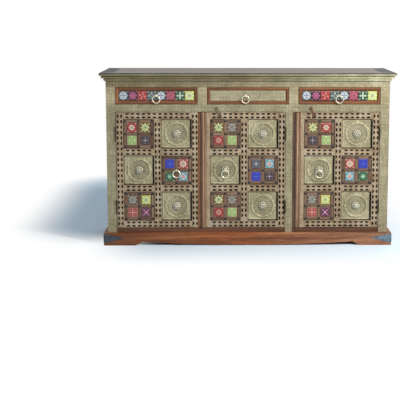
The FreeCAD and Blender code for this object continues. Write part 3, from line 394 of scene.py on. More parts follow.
def make_piece(bench, name, body, finishes, replaces=(), smooth=True):
    mesh = bench.mesh(name, finishes)
    work = bmesh.new()
    work.from_mesh(mesh)
    bmesh.ops.remove_doubles(work, verts=work.verts, dist=WELD)
    work.to_mesh(mesh)
    work.free()
    if smooth:
        mesh.shade_smooth()
        mesh.set_sharp_from_angle(angle=SHARP_ANGLE)
    piece = bpy.data.objects.new(name, mesh)
    scene.collection.objects.link(piece)
    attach(piece, body)
    if replaces:
        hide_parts(*replaces)
    return piece


# %% [markdown]
# All the wood comes out of one long log of noise. Each board starts at another place in it, as if it were
# sawn there, so that no two show the same figure. The places are drawn by chance, but from a fixed start,
# and so every run of the lesson saws the same boards.

# %% The log
LOG_LENGTH = 9
chance = random.Random(7)


def grain_start():
    """A random place in the log, so that no two boards show the same grain."""
    return chance.uniform(0, LOG_LENGTH)


print("the log is", LOG_LENGTH, "m long")

# %% [markdown]
# Most of the sideboard is boards. A cube with a bevel would do for the shape, but its grain would run
# across the ends. This board has its own broken edges, which catch the light as worn wood does, grain
# along its own length and end grain where it is cut.

# %% Boards with broken edges
BROKEN_EDGE = 0.0012
END_GRAIN, SIDE_STEP = 0.3, 0.37


def board(bench, low, high, along, edge=BROKEN_EDGE, tone=1.0):
    """A board between two corners; along is the axis number of its grain."""
    low, high = Vector(low), Vector(high)
    middle = (low + high) / 2
    shift = (grain_start(), grain_start())

    def corner(signs, main):
        return Vector([
            (high[i] if signs[i] > 0 else low[i]) - (0 if i == main else signs[i] * edge) for i in range(3)])

    def lay(point, normal):
        if normal == along:
            cross = [i for i in range(3) if i != along]
            return (point[cross[0]] * END_GRAIN + shift[0], point[cross[1]] + shift[1])
        other = 3 - along - normal
        return (point[along] + shift[0], point[other] + normal * SIDE_STEP + shift[1])

    def add(points, normal):
        out = sum(points, Vector()) / len(points) - middle
        bench.face(points, [lay(p, normal) for p in points], 0, tone, out)

    for main in range(3):
        a, b = [i for i in range(3) if i != main]
        for side in (-1, 1):
            loop = []
            for sa, sb in ((-1, -1), (1, -1), (1, 1), (-1, 1)):
                signs = [0, 0, 0]
                signs[main], signs[a], signs[b] = side, sa, sb
                loop.append(corner(signs, main))
            add(loop, main)
            for other in (-1, 1):
                ends = []
                for tail in (-1, 1):
                    signs = [0, 0, 0]
                    signs[main], signs[a], signs[b] = tail, side, other
                    ends.append(signs)
                add([corner(ends[0], a), corner(ends[1], a), corner(ends[1], b), corner(ends[0], b)], a)
    for sx in (-1, 1):
        for sy in (-1, 1):
            for sz in (-1, 1):
                add([corner((sx, sy, sz), main) for main in range(3)], 2)


print("boards break their edges by", BROKEN_EDGE * 1000, "mm")

# %% [markdown]
# A mitred frame is four lengths of one moulding, cut at 45 degrees. Instead of cutting, the moulding's
# section is written once as pairs of inset and height, and each pair gives a smaller rectangle. Joining
# neighbouring rectangles side by side makes the four lengths, and every length gets its own grain.

# %% Mitred frames
def upright_lay(y):
    return lambda u, v, height: Vector((u, y - height, v))


def flat_lay(z):
    return lambda u, v, height: Vector((u, v, z + height))


def mitred_frame(bench, low, high, section, lay, finishes=None):
    """section lists (inset, height) from the outer edge inwards; low and high are the frame's corners.
    finishes, where given, lists the finish of each step of the section for each of the four sides."""
    out = lay(0, 0, 1) - lay(0, 0, 0)
    loops = []
    for inset, _ in section:
        a, b = low[0] + inset, low[1] + inset
        c, d = high[0] - inset, high[1] - inset
        loops.append([(a, b), (c, b), (c, d), (a, d)])
    middle = lay((low[0] + high[0]) / 2, (low[1] + high[1]) / 2, 0)
    for side in range(4):
        shift = (grain_start(), grain_start())
        travel = 0.0
        for k in range(len(section) - 1):
            near, far = loops[k], loops[k + 1]
            h0, h1 = section[k][1], section[k + 1][1]
            p, q = near[side], near[(side + 1) % 4]
            r, s = far[(side + 1) % 4], far[side]
            inwards, rising = section[k + 1][0] - section[k][0], h1 - h0
            step = math.hypot(inwards, rising)
            points = [lay(*p, h0), lay(*q, h0), lay(*r, h1), lay(*s, h1)]
            axis = side % 2
            grain = [(uv[axis] + shift[0], t + shift[1]) for uv, t in
                     zip((p, q, r, s), (travel, travel, travel + step, travel + step))]
            edge_out = sum(points, Vector()) / 4 - middle
            hint = out * abs(inwards)
            hint += edge_out.normalized() * (rising if inwards >= 0 else -rising)
            bench.face(points, grain, finishes[side][k] if finishes else 0, 1.0, hint)
            travel += step


print("mitred frames ready")

# %% [markdown]
# The wood is a warm open-grained hardwood, waxed and darkened with age. Real grain is long: features
# run for a hand's length along a board but only for a millimetre or two across it. So noise is stretched
# along the grain, in three sizes: broad figure, growth bands and fine fibres, with short dark pores on
# top. Boards made on the bench bring their own grain coordinates, and frame parts use their own axes.

# %% Wood finishes
FIGURE, BANDS, FIBRES, PORES = (1.3, 11), (2.0, 62), (11, 520), (26, 760)
PORE_DIRT, PORE_SHARE = paint(38, 22, 14), 0.55


def wood_finish(name, dark, middle, light, along="bench", gloss=0.45, polish=0.3, coat=0.0, bloom=0.25,
                painted_light=None):
    """dark, middle and light are the colours of the growth bands; along is the axis of the grain."""
    wood = Toned(name, Specular_IOR_Level=polish, Coat_Weight=coat, Coat_Roughness=0.16)
    place = wood.place("UV" if along == "bench" else "Object")
    order = {"Y": 1, "Z": 2}.get(along, 0)
    if along == "round":
        x, y, z = wood.parts(place)
        place = wood.node("CombineXYZ", {0: wood.sum("ADD", x, y), 1: z}).outputs[0]

    def run(length, across):
        """The place stretched to so many features in a metre along and across the grain."""
        scale = [across] * 3
        scale[order] = length
        return wood.stretch(place, scale)

    figure = wood.noise(run(*FIGURE), 1.0, 4.0, 0.6, 0.9)
    bands = wood.noise(run(*BANDS), 1.0, 5.0, 0.62, 0.7)
    fibres = wood.noise(run(*FIBRES), 1.0, 3.0, 0.7)
    pores = wood.range(wood.noise(run(*PORES), 1.0, 2.0), 0.58, 0.70)
    colour = wood.ramp(bands, (0.28, dark), (0.50, middle), (0.76, light))
    colour = wood.blend(wood.range(figure, 0.36, 0.70, 0.0, 0.6), colour, dark)
    colour = wood.blend(wood.range(fibres, 0.42, 0.75, 0.0, bloom), colour, light)
    colour = wood.blend(wood.sum("MULTIPLY", pores, PORE_SHARE), colour, PORE_DIRT)
    if along == "bench":
        colour = wood.shaded(colour)
    if painted_light:
        colour = wood.painted_gradient(colour, *painted_light)
    wood.set(Base_Color=colour, Roughness=wood.range(fibres, 0.25, 0.75, gloss - 0.08, gloss + 0.12))
    wood.relief((fibres, 0.0002), (wood.sum("SUBTRACT", 1.0, pores), 0.0003))
    return wood.material


print("grain features in a metre:", FIGURE, BANDS, FIBRES, PORES)

# %% [markdown]
# One way to paint wood gives several woods. Each has three colours, for the dark, middle and light growth
# bands: brown walnut for the sides, red mahogany for doors and drawers, a grey polish on the top and a
# duller, slaty wood on its two ends.

# %% Woods of the sideboard
WALNUT = (paint(54, 36, 26), paint(94, 66, 48), paint(132, 98, 74))
TEAK = (paint(64, 29, 14), paint(150, 85, 46), paint(208, 140, 88))
MAHOGANY = (paint(64, 34, 20), paint(134, 82, 51), paint(184, 126, 84))
POLISHED = (paint(54, 46, 40), paint(84, 73, 65), paint(116, 104, 94))
SLATY = (paint(42, 40, 40), paint(64, 62, 62), paint(90, 89, 90))
PALE = (paint(112, 78, 50), paint(152, 112, 76), paint(182, 142, 102))

walnut = wood_finish("waxed_walnut", *WALNUT)
mahogany = wood_finish("red_mahogany", *MAHOGANY, gloss=0.36)
polished = wood_finish("polished_top", *POLISHED, gloss=0.42, polish=0.5)
worn_ends = wood_finish("worn_top_ends", *SLATY, gloss=0.66, polish=0.45)
print("woods:", [wood.name for wood in (walnut, mahogany, polished, worn_ends)])

# %% [markdown]
# Where the frame's own solid already has the right shape, it stays and only gets a finish. A bevel
# modifier breaks its edges by a millimetre, because no edge on old furniture is knife sharp. The plinth
# and the sill have their grain along X, the partitions and posts along Z. The plinth gets painted light:
# painted shade towards its left end and a painted sheen towards its right end.

# %% Finish the frame parts that stay
BEVEL_STEPS, BEVEL_FROM = 2, math.radians(40)


def dress(node, finish, edge=0.001):
    part = bpy.data.objects[node]
    part.data.materials.clear()
    part.data.materials.append(finish)
    bevel = part.modifiers.new("broken_edges", "BEVEL")
    bevel.width = edge
    bevel.segments = BEVEL_STEPS
    bevel.limit_method = "ANGLE"
    bevel.angle_limit = BEVEL_FROM
    bevel.harden_normals = True


# Painted light along the plinth: painted shade on the left, painted sheen on the right.
PLINTH_PAINTED_LIGHT = ((0.58, 0.58, 0.60), (1.10, 0.98, 0.86), (1.14, 1.55, 2.45))
teak_along = wood_finish("teak_plinth", *TEAK, along="X", gloss=0.5, bloom=0.35, painted_light=PLINTH_PAINTED_LIGHT)
teak_return = wood_finish("teak_plinth_returns", *TEAK, along="round", gloss=0.5)
SILL = (paint(44, 24, 16), paint(100, 62, 42), paint(144, 98, 70))
sill_wood = wood_finish("sill_mahogany", *SILL, along="X", gloss=0.40)
BEAD = (paint(80, 50, 32), paint(158, 115, 79), paint(220, 179, 140))
bead_wood = wood_finish("bead_mahogany", *BEAD, gloss=0.26, coat=0.8)
inner_along = wood_finish("inner_boards", *PALE, along="X", gloss=0.6)
inner_upright = wood_finish("inner_uprights", *PALE, along="Z", gloss=0.6)
inner_deep = wood_finish("drawer_sides", *PALE, along="Y", gloss=0.6)
post_wood = wood_finish("post_walnut", *WALNUT, along="Z")
rail_wood = wood_finish("rail_walnut", *WALNUT, along="X")

STAYING = {"plinth_front": teak_along, "plinth_returns": teak_return, "sill_rail": sill_wood,
           "bottom_board": inner_along, "drawer_deck": inner_along, "shelves": inner_along,
           "inner_strips": inner_along, "partitions": inner_upright, "front_posts": post_wood,
           "front_rails": rail_wood, "drawer_left_box": inner_deep, "drawer_middle_box": inner_deep,
           "drawer_right_box": inner_deep}
for node, finish in STAYING.items():
    dress(node, finish)
print("frame parts dressed in wood:", len(STAYING))

# %% [markdown]
# The top is a polished panel inside a mitred border, whose two short ends have lost their polish. Its
# outer edge is wrapped in brass, and a close row of small dark nails sits in a dark rim along the upper
# corner, so the border's section takes several finishes on its way round. The nails stand in front of
# a rim set back by their own height.

# %% Boards of the top
SHEET_SEAT, NAIL_SEAT, RIM_TALL = 0.0012, 0.0017, 0.0048
RIM_STEP, NOSE_OUT, NOSE_DOWN = 0.0004, 0.0016, 0.0014
LONG_SIDE, END_SIDE = (0, 1, 2, 2, 2, 0, 0, 0), (0, 1, 2, 2, 2, 3, 3, 0)


def corners(node):
    """The lowest and the highest corner of a frame part."""
    return [Vector(corner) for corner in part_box(node)]


top_low, top_high = corners("top_frame")
panel_low, panel_high = corners("top_panel")
thick = top_high.z - top_low.z
border = panel_low.x - top_low.x
edge_section = [(border, 0.0), (SHEET_SEAT, 0.0), (SHEET_SEAT, thick - RIM_TALL),
                (NAIL_SEAT, thick - RIM_TALL + RIM_STEP), (NAIL_SEAT, thick - NOSE_DOWN),
                (NAIL_SEAT + NOSE_OUT, thick), (border - BROKEN_EDGE, thick),
                (border, thick - BROKEN_EDGE), (border, 0.0)]
border_bench = Bench()
mitred_frame(border_bench, top_low[:2], top_high[:2], edge_section, flat_lay(top_low.z),
             finishes=(LONG_SIDE, END_SIDE, LONG_SIDE, END_SIDE))

PLANKS, TIGHT_EDGE = 3, 0.0005
panel_bench = Bench()
plank = (panel_high.y - panel_low.y) / PLANKS
for i in range(PLANKS):
    start = panel_low.y + i * plank
    low, high = (panel_low.x, start, panel_low.z), (panel_high.x, start + plank, panel_high.z)
    board(panel_bench, low, high, 0, TIGHT_EDGE)
print("top planks:", PLANKS, "border in mm:", round(border * 1000))

# %% [markdown]
# The two ends of the carcass are frame and panel: an upright at the back, a rail above and below and a
# thin panel set back between them, so that the panel can swell and shrink. Boards with their own grain
# directions show this better than one solid.

# %% Ends of the carcass
STILE, SIDE_RAIL, PANEL_SETBACK, PANEL_BOARD = 0.060, 0.075, 0.006, 0.010
END_BOARDS, PANEL_EDGE = 2, 0.0006


def carcass_end(node, inner_sign):
    low, high = corners(node)
    bench = Bench()
    stile_front = high.y - STILE
    board(bench, (low.x, stile_front, low.z), high, 2)
    board(bench, low, (high.x, stile_front, low.z + SIDE_RAIL), 1)
    board(bench, (low.x, low.y, high.z - SIDE_RAIL), (high.x, stile_front, high.z), 1)
    outer = low.x if inner_sign > 0 else high.x
    near, far = sorted(outer + inner_sign * depth for depth in (PANEL_SETBACK, PANEL_SETBACK + PANEL_BOARD))
    wide = (stile_front - low.y) / END_BOARDS
    for i in range(END_BOARDS):
        start = low.y + i * wide
        foot, head = (near, start, low.z + SIDE_RAIL), (far, start + wide, high.z - SIDE_RAIL)
        board(bench, foot, head, 2, PANEL_EDGE)
    return make_piece(bench, node + "_boards", "carcass", [walnut], [node])


ends = [carcass_end("side_left", 1), carcass_end("side_right", -1)]
print("ends:", [piece.name for piece in ends])

# %% [markdown]
# The back is a row of narrow upright planks with strongly broken edges, so that the joints show as dark
# lines. Nobody looks at it often, but it is seen when the sideboard stands free in a room.

# %% Back
BACK_PLANKS, PLANK_EDGE = 9, 0.0018
back_low, back_high = corners("back_panel")
back_bench = Bench()
width = (back_high.x - back_low.x) / BACK_PLANKS
for i in range(BACK_PLANKS):
    board(back_bench, (back_low.x + i * width, back_low.y, back_low.z),
          (back_low.x + (i + 1) * width, back_high.y, back_high.z), 2, PLANK_EDGE)
make_piece(back_bench, "back_planks", "carcass", [walnut], ["back_panel"])
print("back planks:", BACK_PLANKS)

# %% [markdown]
# Each door is a grid of stiles, rails and short muntins with a board in each of its six openings. The
# tile openings hold a thicker board that comes nearly up to the face, and the brass openings a board
# set back behind the sheet. The doors share one description, which later cells use for strips, tiles
# and medallions.

# %% Describe the three doors
FRONT = -0.183
STRIP, STRIP_THICK, FREE_SIDE = 0.036, 0.006, 0.046
FRAME_BACK, BOARD_BACK = 0.028, 0.021
TILE_BOARD, BRASS_SHEET, BRASS_BACK = 0.005, 0.009, 0.0105
ROWS, COLUMNS = 3, 2


class Door:
    """Places on one door; hinged on the left where hand is -1."""

    def __init__(self, name, hand):
        self.body, self.hand = "door_" + name, hand
        low, high = corners(self.body + "_frame")
        self.left, self.right, self.bottom, self.top = low.x, high.x, low.z, high.z
        self.panel = ((high.x - low.x - 2 * STRIP - FREE_SIDE) / 2, (high.z - low.z - 4 * STRIP) / ROWS)
        first = low.x + (STRIP if hand < 0 else FREE_SIDE)
        self.columns = [first + i * (self.panel[0] + STRIP) for i in range(COLUMNS)]
        self.rows = [low.z + STRIP + i * (self.panel[1] + STRIP) for i in range(ROWS)]

    def panels(self):
        """The lower left corner of each panel, and whether it holds tiles."""
        for c, x in enumerate(self.columns):
            for r, z in enumerate(self.rows):
                yield x, z, (c + r) % 2 == 0


DOORS = [Door("left", -1), Door("middle", 1), Door("right", 1)]
print("door panels in mm:", [round(side * 1000, 1) for side in DOORS[0].panel])

# %% [markdown]
# The boards of a door could be one block with recesses cut into it. Separate boards show the joints and
# let the grain of stiles run upright and that of rails run across, as a joiner would place it. The left
# door also has a dark lip along its free side, partly darker wood and partly painted shade of the next
# door's ribbed strip.

# %% Door boards
LIP, LIP_EDGE = 0.014, 0.002
# LIP_TONE darkens the lip: partly darker wood, partly painted shade of the next door's ribbed strip.
TILE_TONE, LIP_TONE = 0.85, 0.75


def door_boards(door):
    bench = Bench()
    y0, y1 = FRONT + STRIP_THICK, FRONT + FRAME_BACK
    inner_left, inner_right = door.columns[0], door.columns[-1] + door.panel[0]
    for x0, x1 in ((door.left, inner_left), (inner_right, door.right)):
        board(bench, (x0, y0, door.bottom), (x1, y1, door.top), 2)
    for i in range(ROWS + 1):
        z = door.bottom + i * (door.panel[1] + STRIP)
        board(bench, (inner_left, y0, z), (inner_right, y1, z + STRIP), 0)
    for z in door.rows:
        x = door.columns[0] + door.panel[0]
        board(bench, (x, y0, z), (x + STRIP, y1, z + door.panel[1]), 2)
    for x, z, tiled in door.panels():
        near = (x, FRONT + (TILE_BOARD if tiled else BRASS_BACK), z)
        far = (x + door.panel[0], FRONT + BOARD_BACK, z + door.panel[1])
        board(bench, near, far, 2, PANEL_EDGE, TILE_TONE if tiled else 1.0)
    if door.hand < 0:
        near, far = (door.right - LIP, FRONT, door.bottom), (door.right, y0, door.top)
        board(bench, near, far, 2, LIP_EDGE, LIP_TONE)
    name = door.body + "_boards"
    return make_piece(bench, name, door.body, [mahogany], [door.body + "_frame"])


print("door boards:", [door_boards(door).name for door in DOORS])

# %% [markdown]
# The middle and the right door close against a ribbed strip, which covers the gap to the next door. Its
# section is one broad half round and a narrow one beside it. The shade of each corner follows its height:
# the grooves are darker, partly dirt and partly painted shade, and the crests lighter, partly polish and
# partly a painted highlight.

# %% Ribbed closing edges
BROAD_RIB, NARROW_RIB = (0.0115, 0.0075, 0.0078), (0.0232, 0.0040, 0.0044)
# GROOVE_TONE darkens the grooves and CREST_GAIN lightens the crests: dirt and polish with painted shade and
# highlight.
GROOVE_TONE, CREST_GAIN = 0.5, 0.6


def rib(middle, half, lift):
    """A half round as pairs of place across and lift."""
    turns = [math.radians(turn) for turn in range(0, 181, 20)]
    return [(middle - half * math.cos(turn), lift * math.sin(turn)) for turn in turns]


def ribbed_edge(door):
    node = door.body + "_astragal"
    low, high = corners(node)
    depth = FRONT - high.y
    wide = high.x - low.x
    section = [(0.0, depth), (0.0, 0.0), *rib(*BROAD_RIB), *rib(*NARROW_RIB), (wide, 0.0), (wide, depth)]
    bench = Bench()
    for (t0, h0), (t1, h1) in zip(section, section[1:] + section[:1]):
        loop = [Vector((low.x + t, FRONT - h, z)) for t, h, z in
                ((t0, h0, low.z), (t1, h1, low.z), (t1, h1, high.z), (t0, h0, high.z))]
        shade = [GROOVE_TONE + CREST_GAIN * max(0.0, h) / BROAD_RIB[2] for h in (h0, h1, h1, h0)]
        bench.face(loop, [(p.z, p.x) for p in loop], 0, shade, (h0 - h1, t0 - t1, 0))
    for z, up in ((low.z, -1), (high.z, 1)):
        bench.face([Vector((low.x + t, FRONT - h, z)) for t, h in section], outward=(0, 0, up))
    return make_piece(bench, door.body + "_ribbed_edge", door.body, [bead_wood], [node])


print("ribbed edges:", [ribbed_edge(door).name for door in DOORS if door.hand > 0])

# %% [markdown]
# A drawer front is a board with a mitred moulding planted round its edge. The moulding is flat outside
# and slopes down to the tiles inside, so the lower bar catches the light and shows paler.

# %% Drawer fronts
MOULDING, MOULDING_LIFT, SLOPE = 0.016, 0.008, 0.006
ARRIS, SLOPE_TOP, SLOPE_FOOT = 0.001, 0.0012, 0.0055
DRAWERS = ("drawer_left", "drawer_middle", "drawer_right")


def drawer_front(body):
    low, high = corners(body + "_front")
    bench = Bench()
    face = low.y + MOULDING_LIFT
    board(bench, (low.x, face, low.z), high, 0)
    section = [(0.0, 0.0), (0.0, MOULDING_LIFT - ARRIS), (ARRIS, MOULDING_LIFT),
               (MOULDING - SLOPE - ARRIS, MOULDING_LIFT), (MOULDING - SLOPE, MOULDING_LIFT - SLOPE_TOP),
               (MOULDING, MOULDING_LIFT - SLOPE_FOOT), (MOULDING, 0.0)]
    mitred_frame(bench, (low.x, low.z), (high.x, high.z), section, upright_lay(face))
    return make_piece(bench, body + "_moulding", body, [mahogany], [body + "_front"])


print("drawer fronts:", [drawer_front(body).name for body in DRAWERS])

# %% [markdown]
# The front frame is wrapped in thin brass sheet that was stamped all over with small dots in rows. The
# dots are the product of two waves, which drive both the relief and the grime, so the two always agree.
# The sheet at the height of the drawers is made lighter, and the band over them gets painted shade from
# the cornice, darkest on the left and turning to painted light on the right. Both are words of their own,
# because only some of the brass needs them.

# %% Words for stamped sheet and bands of tone
RAIL_TOP, FRIEZE_FOOT, BAND_EDGE = 0.746, 0.836, 0.003
DOT_WAVER = 0.006
# DRAWER_BAND_GAIN lightens the drawer band; FRIEZE_PAINTED_SHADE paints the cornice's shade on the frieze,
# with painted light to the right.
DRAWER_BAND_GAIN = (1.22, 1.20, 1.17, 1.0)
FRIEZE_PAINTED_SHADE = ((0.53, 0.50, 0.44), (0.67, 0.65, 0.61), (1.08, 1.11, 1.20))


class Brass(Toned):
    """A recipe that can stamp rows of dots and show where hands have been."""

    def stamped(self, place, count):
        """0 on a dot and 1 between the dots, with count dots in a metre."""
        x, y, z = self.parts(place)
        waver = self.sum("MULTIPLY", self.noise(place, 40.0, 2.0), DOT_WAVER)
        across = self.sum("ADD", self.sum("ADD", x, y), waver)
        upward = self.sum("SUBTRACT", z, waver)
        waves = [self.sum("ABSOLUTE", self.sum("SINE", self.sum("MULTIPLY", line, math.pi * count)))
                 for line in (across, upward)]
        return self.range(self.sum("MULTIPLY", *waves), 0.20, 0.75, 1.0, 0.0)

    def banded(self, place, colour):
        """Lighter at the height of the drawers; above them painted shade on the left and painted light on the
        right.
        """
        height = self.parts(place)[2]

        def above(line):
            return self.range(height, line - BAND_EDGE, line + BAND_EDGE)

        colour = self.blend(above(RAIL_TOP), colour, self.times(colour, DRAWER_BAND_GAIN))
        return self.blend(above(FRIEZE_FOOT), colour, self.painted_gradient(colour, *FRIEZE_PAINTED_SHADE))


print("stamped and handled sheet ready:", Brass.__name__)

# %% [markdown]
# Old brass has dulled to a greyish khaki. Tarnish scatters light like paint, so the metal share stays
# low. The dirt has three layers: broad clouds, small stains, and dark grime between the stamped dots.
# Shallow dents keep the sheet from looking like plastic.

# %% How brass is painted
def brass_finish(name, tones, punch=135.0, dent=46.0, metal=0.25, gloss=0.45, polish=0.35, grime=0.7,
                 stamp=0.0006, shaded=False, banded=False, painted_light=None):
    """punch counts the stamped dots in a metre, dent the dents; stamp is the depth of a dot."""
    dark, middle, light = tones
    brass = Brass(name, Metallic=metal, Specular_IOR_Level=polish)
    place = brass.place()
    dots = brass.stamped(place, punch)
    dents = brass.dimples(place, dent)
    cloud = brass.noise(place, 11.0, 5.0, 0.66, 0.4)
    stain = brass.noise(place, 85.0, 4.0, 0.7, 0.6)
    scuff = brass.noise(brass.stretch(place, (30, 30, 260)), 1.0, 3.0)
    colour = brass.ramp(cloud, (0.14, dark), (0.47, middle), (0.82, light))
    colour = brass.blend(brass.range(scuff, 0.52, 0.75, 0.0, 0.45), colour, light)
    colour = brass.blend(brass.range(stain, 0.52, 0.74, 0.0, 0.5), colour, dark)
    colour = brass.blend(brass.sum("MULTIPLY", dots, grime), colour, dark)
    if shaded:
        colour = brass.shaded(colour)
    if banded:
        colour = brass.banded(place, colour)
    if painted_light:
        colour = brass.painted_gradient(colour, *painted_light)
    rough = brass.range(stain, 0.3, 0.7, gloss - 0.1, gloss + 0.16)
    brass.set(Base_Color=colour, Roughness=rough)
    brass.relief((dents, 0.0022), (brass.sum("SUBTRACT", 1.0, dots), stamp))
    return brass.material


print("brass words:", brass_finish.__name__)

# %% [markdown]
# The sheet on the front, the cornice, the edge of the top, the dark rim under its nails and the panel of
# the middle drawer are all the same metal, worn in different ways. So each is one line: three tones and
# what makes it different. The cornice and the top's edge also get painted light: painted shade on the
# left and a painted reflection of the lamp towards the right end.

# %% Brasses of the front
KHAKI = (paint(101, 92, 66), paint(165, 154, 123), paint(211, 200, 169))
clad_brass = brass_finish("punched_brass", KHAKI, banded=True)
CORNICE_TONES = (paint(90, 81, 52), paint(146, 135, 95), paint(198, 186, 144))
# Painted light along the cornice and the top's edge: painted shade on the left, painted reflection on the
# right.
CORNICE_PAINTED_LIGHT = ((1.0, 0.96, 0.90), (1.04, 1.0, 0.94), (2.65, 2.9, 3.6))
EDGE_PAINTED_LIGHT = ((0.70, 0.68, 0.64), (0.82, 0.80, 0.78), (1.60, 1.78, 2.25))
RIM_TONES = (paint(34, 32, 26), paint(70, 66, 55), paint(112, 108, 92))
BENT_SHEET = dict(punch=190.0, dent=8.0, metal=0.35, gloss=0.38, polish=1.0, stamp=0.0001)
cornice_brass = brass_finish("cornice_brass", CORNICE_TONES, shaded=True, painted_light=CORNICE_PAINTED_LIGHT, **BENT_SHEET)
edge_brass = brass_finish("top_edge_brass", CORNICE_TONES, painted_light=EDGE_PAINTED_LIGHT, **BENT_SHEET)
rim_brass = brass_finish("dark_rim_brass", RIM_TONES, punch=190.0)
DRAWER_TONES = (paint(108, 98, 72), paint(172, 162, 131), paint(212, 203, 173))
drawer_brass = brass_finish("drawer_brass", DRAWER_TONES)
CLAD_EDGE, DRAWER_SHEET_EDGE = 0.0004, 0.0008
dress("front_cladding", clad_brass, CLAD_EDGE)
dress("drawer_middle_brass_panel", drawer_brass, DRAWER_SHEET_EDGE)
print("brass:", [brass.name for brass in (clad_brass, cornice_brass, edge_brass, rim_brass, drawer_brass)])

# %% [markdown]
# Nails and pins are everywhere on this piece: dark iron dots along the top, brass pins round the
# cladding and iron heads between the tiles. All are domes, a few rings of corners that close in a point,
# laid along a direction that says which way the head looks.

# %% Nail heads
def dome(bench, centre, looks, radius, lift, rings=3, sides=10):
    looks = Vector(looks).normalized()
    side = looks.orthogonal().normalized()
    other = looks.cross(side)
    centre = Vector(centre)

    def spot(ring, i):
        rise = ring / rings * math.pi / 2
        turn = 2 * math.pi * i / sides
        reach = radius * math.cos(rise)
        flat = side * math.cos(turn) + other * math.sin(turn)
        return centre + flat * reach + looks * (lift * math.sin(rise))

    tip = centre + looks * lift
    for ring in range(rings):
        for i in range(sides):
            if ring == rings - 1:
                loop = [spot(ring, i), spot(ring, i + 1), tip]
            else:
                loop = [spot(ring, i), spot(ring, i + 1), spot(ring + 1, i + 1), spot(ring + 1, i)]
            bench.face(loop, outward=sum(loop, Vector()) / len(loop) - centre)


def spaced(start, end, step):
    """Evenly spaced places from start to end, about one step apart."""
    count = max(1, round(abs(end - start) / step))
    return [start + (end - start) * i / count for i in range(count + 1)]


print("nail heads ready")

# %% [markdown]
# Iron parts were forged and blackened. They are dark or blue-grey, with brown rust clouding through
# and a soft sheen on the high spots, so the finish mixes two colours by noise and keeps the roughness
# uneven. The two plinth straps share one iron with painted light: painted shade on the left strap and
# painted light on the right one.

# %% Iron finishes
def iron_finish(name, dark, pale, rust, amount, gloss=0.5, metal=0.6, painted_light=None):
    """amount is how far the rust has spread, from 0 to 1."""
    iron = Toned(name, Metallic=metal, Specular_IOR_Level=0.5)
    place = iron.place()
    cloud = iron.noise(place, 70.0, 5.0, 0.65)
    spots = iron.noise(place, 260.0, 3.0, 0.7, 0.5)
    hammer = iron.dimples(place, 150.0)
    colour = iron.ramp(cloud, (0.35, dark), (0.65, pale))
    colour = iron.blend(iron.range(spots, 0.62 - amount * 0.3, 0.78, 0.0, 0.9), colour, rust)
    if painted_light:
        colour = iron.painted_gradient(colour, *painted_light)
    iron.set(Base_Color=colour, Roughness=iron.range(spots, 0.3, 0.7, gloss - 0.1, gloss + 0.2))
    iron.relief((hammer, 0.0008), (spots, 0.0002))
    return iron.material


RUST = paint(104, 62, 40)
black_iron = iron_finish("black_iron", paint(30, 30, 32), paint(62, 62, 66), RUST, 0.3)
# Painted light along the straps: painted shade on the left, painted light on the right.
STRAP_PAINTED_LIGHT = ((0.70, 0.68, 0.70), (1.0, 1.0, 1.0), (1.85, 2.0, 1.95))
strap_iron = iron_finish("blued_iron", paint(46, 53, 62), paint(88, 100, 110), paint(76, 62, 52), 0.15,
                         gloss=0.42, metal=0.4, painted_light=STRAP_PAINTED_LIGHT)
rusty_iron = iron_finish("rusty_iron", paint(84, 52, 40), paint(132, 90, 72), paint(140, 82, 56), 0.6)
worn_iron = iron_finish("worn_hasp_iron", paint(86, 78, 60), paint(140, 130, 104), RUST, 0.4)
hinge_iron = iron_finish("dark_hinge_iron", paint(34, 28, 18), paint(72, 62, 44), RUST, 0.3)
print("iron:", [iron.name for iron in (black_iron, strap_iron, rusty_iron, worn_iron, hinge_iron)])

# %% [markdown]
# The top can be finished now that its brass and iron exist. A close row of small black nails runs along
# the front and both ends. Each nail is a low dome whose crown just reaches the outer plane of the top.

# %% Finish the top with its nails
NAIL_STEP, NAIL_RADIUS, NAIL_DROP = 0.0085, 0.0021, 0.0026
ROW_INSET, CORNER_INSET = 0.010, 0.012
BORDER_FINISHES = [polished, edge_brass, rim_brass, worn_ends]
make_piece(border_bench, "top_border", "carcass", BORDER_FINISHES, ["top_frame"])
make_piece(panel_bench, "top_planks", "carcass", [polished], ["top_panel"])

nail_bench = Bench()
nail_height = top_high.z - NAIL_DROP
for x in spaced(top_low.x + ROW_INSET, top_high.x - ROW_INSET, NAIL_STEP):
    dome(nail_bench, (x, top_low.y + NAIL_SEAT, nail_height), (0, -1, 0), NAIL_RADIUS, NAIL_SEAT, 2, 8)
for y in spaced(top_low.y + CORNER_INSET, top_high.y - ROW_INSET, NAIL_STEP):
    for x, sign in ((top_low.x + NAIL_SEAT, -1), (top_high.x - NAIL_SEAT, 1)):
        dome(nail_bench, (x, y, nail_height), (sign, 0, 0), NAIL_RADIUS, NAIL_SEAT, 2, 8)
top_nails = make_piece(nail_bench, "top_nails", "carcass", [black_iron])
print("top nail faces:", len(top_nails.data.polygons))

# %% [markdown]
# The cornice is one moulding that runs along the front and returns along both ends. Its section is
# written as steps outwards from the carcass and heights, from the lower bead over the hollow to the
# upper band. The third value is a shade: the grooves and the foot are darker, partly old polish and
# partly painted shade, and the crowns lighter, partly rubbed and partly a painted highlight.

# %% Section of the cornice
cornice_low, cornice_high = corners("cornice")
HALF, REACH = 0.738, 0.027
# GROOVE and FOOT_SHADE darken the grooves and the foot, partly old polish and partly painted shade; CROWN
# lightens the crowns, partly rubbing and partly painted highlight.
GROOVE, CROWN, FOOT_SHADE, LIP_SHADE = 0.42, 1.25, 0.5, 0.8


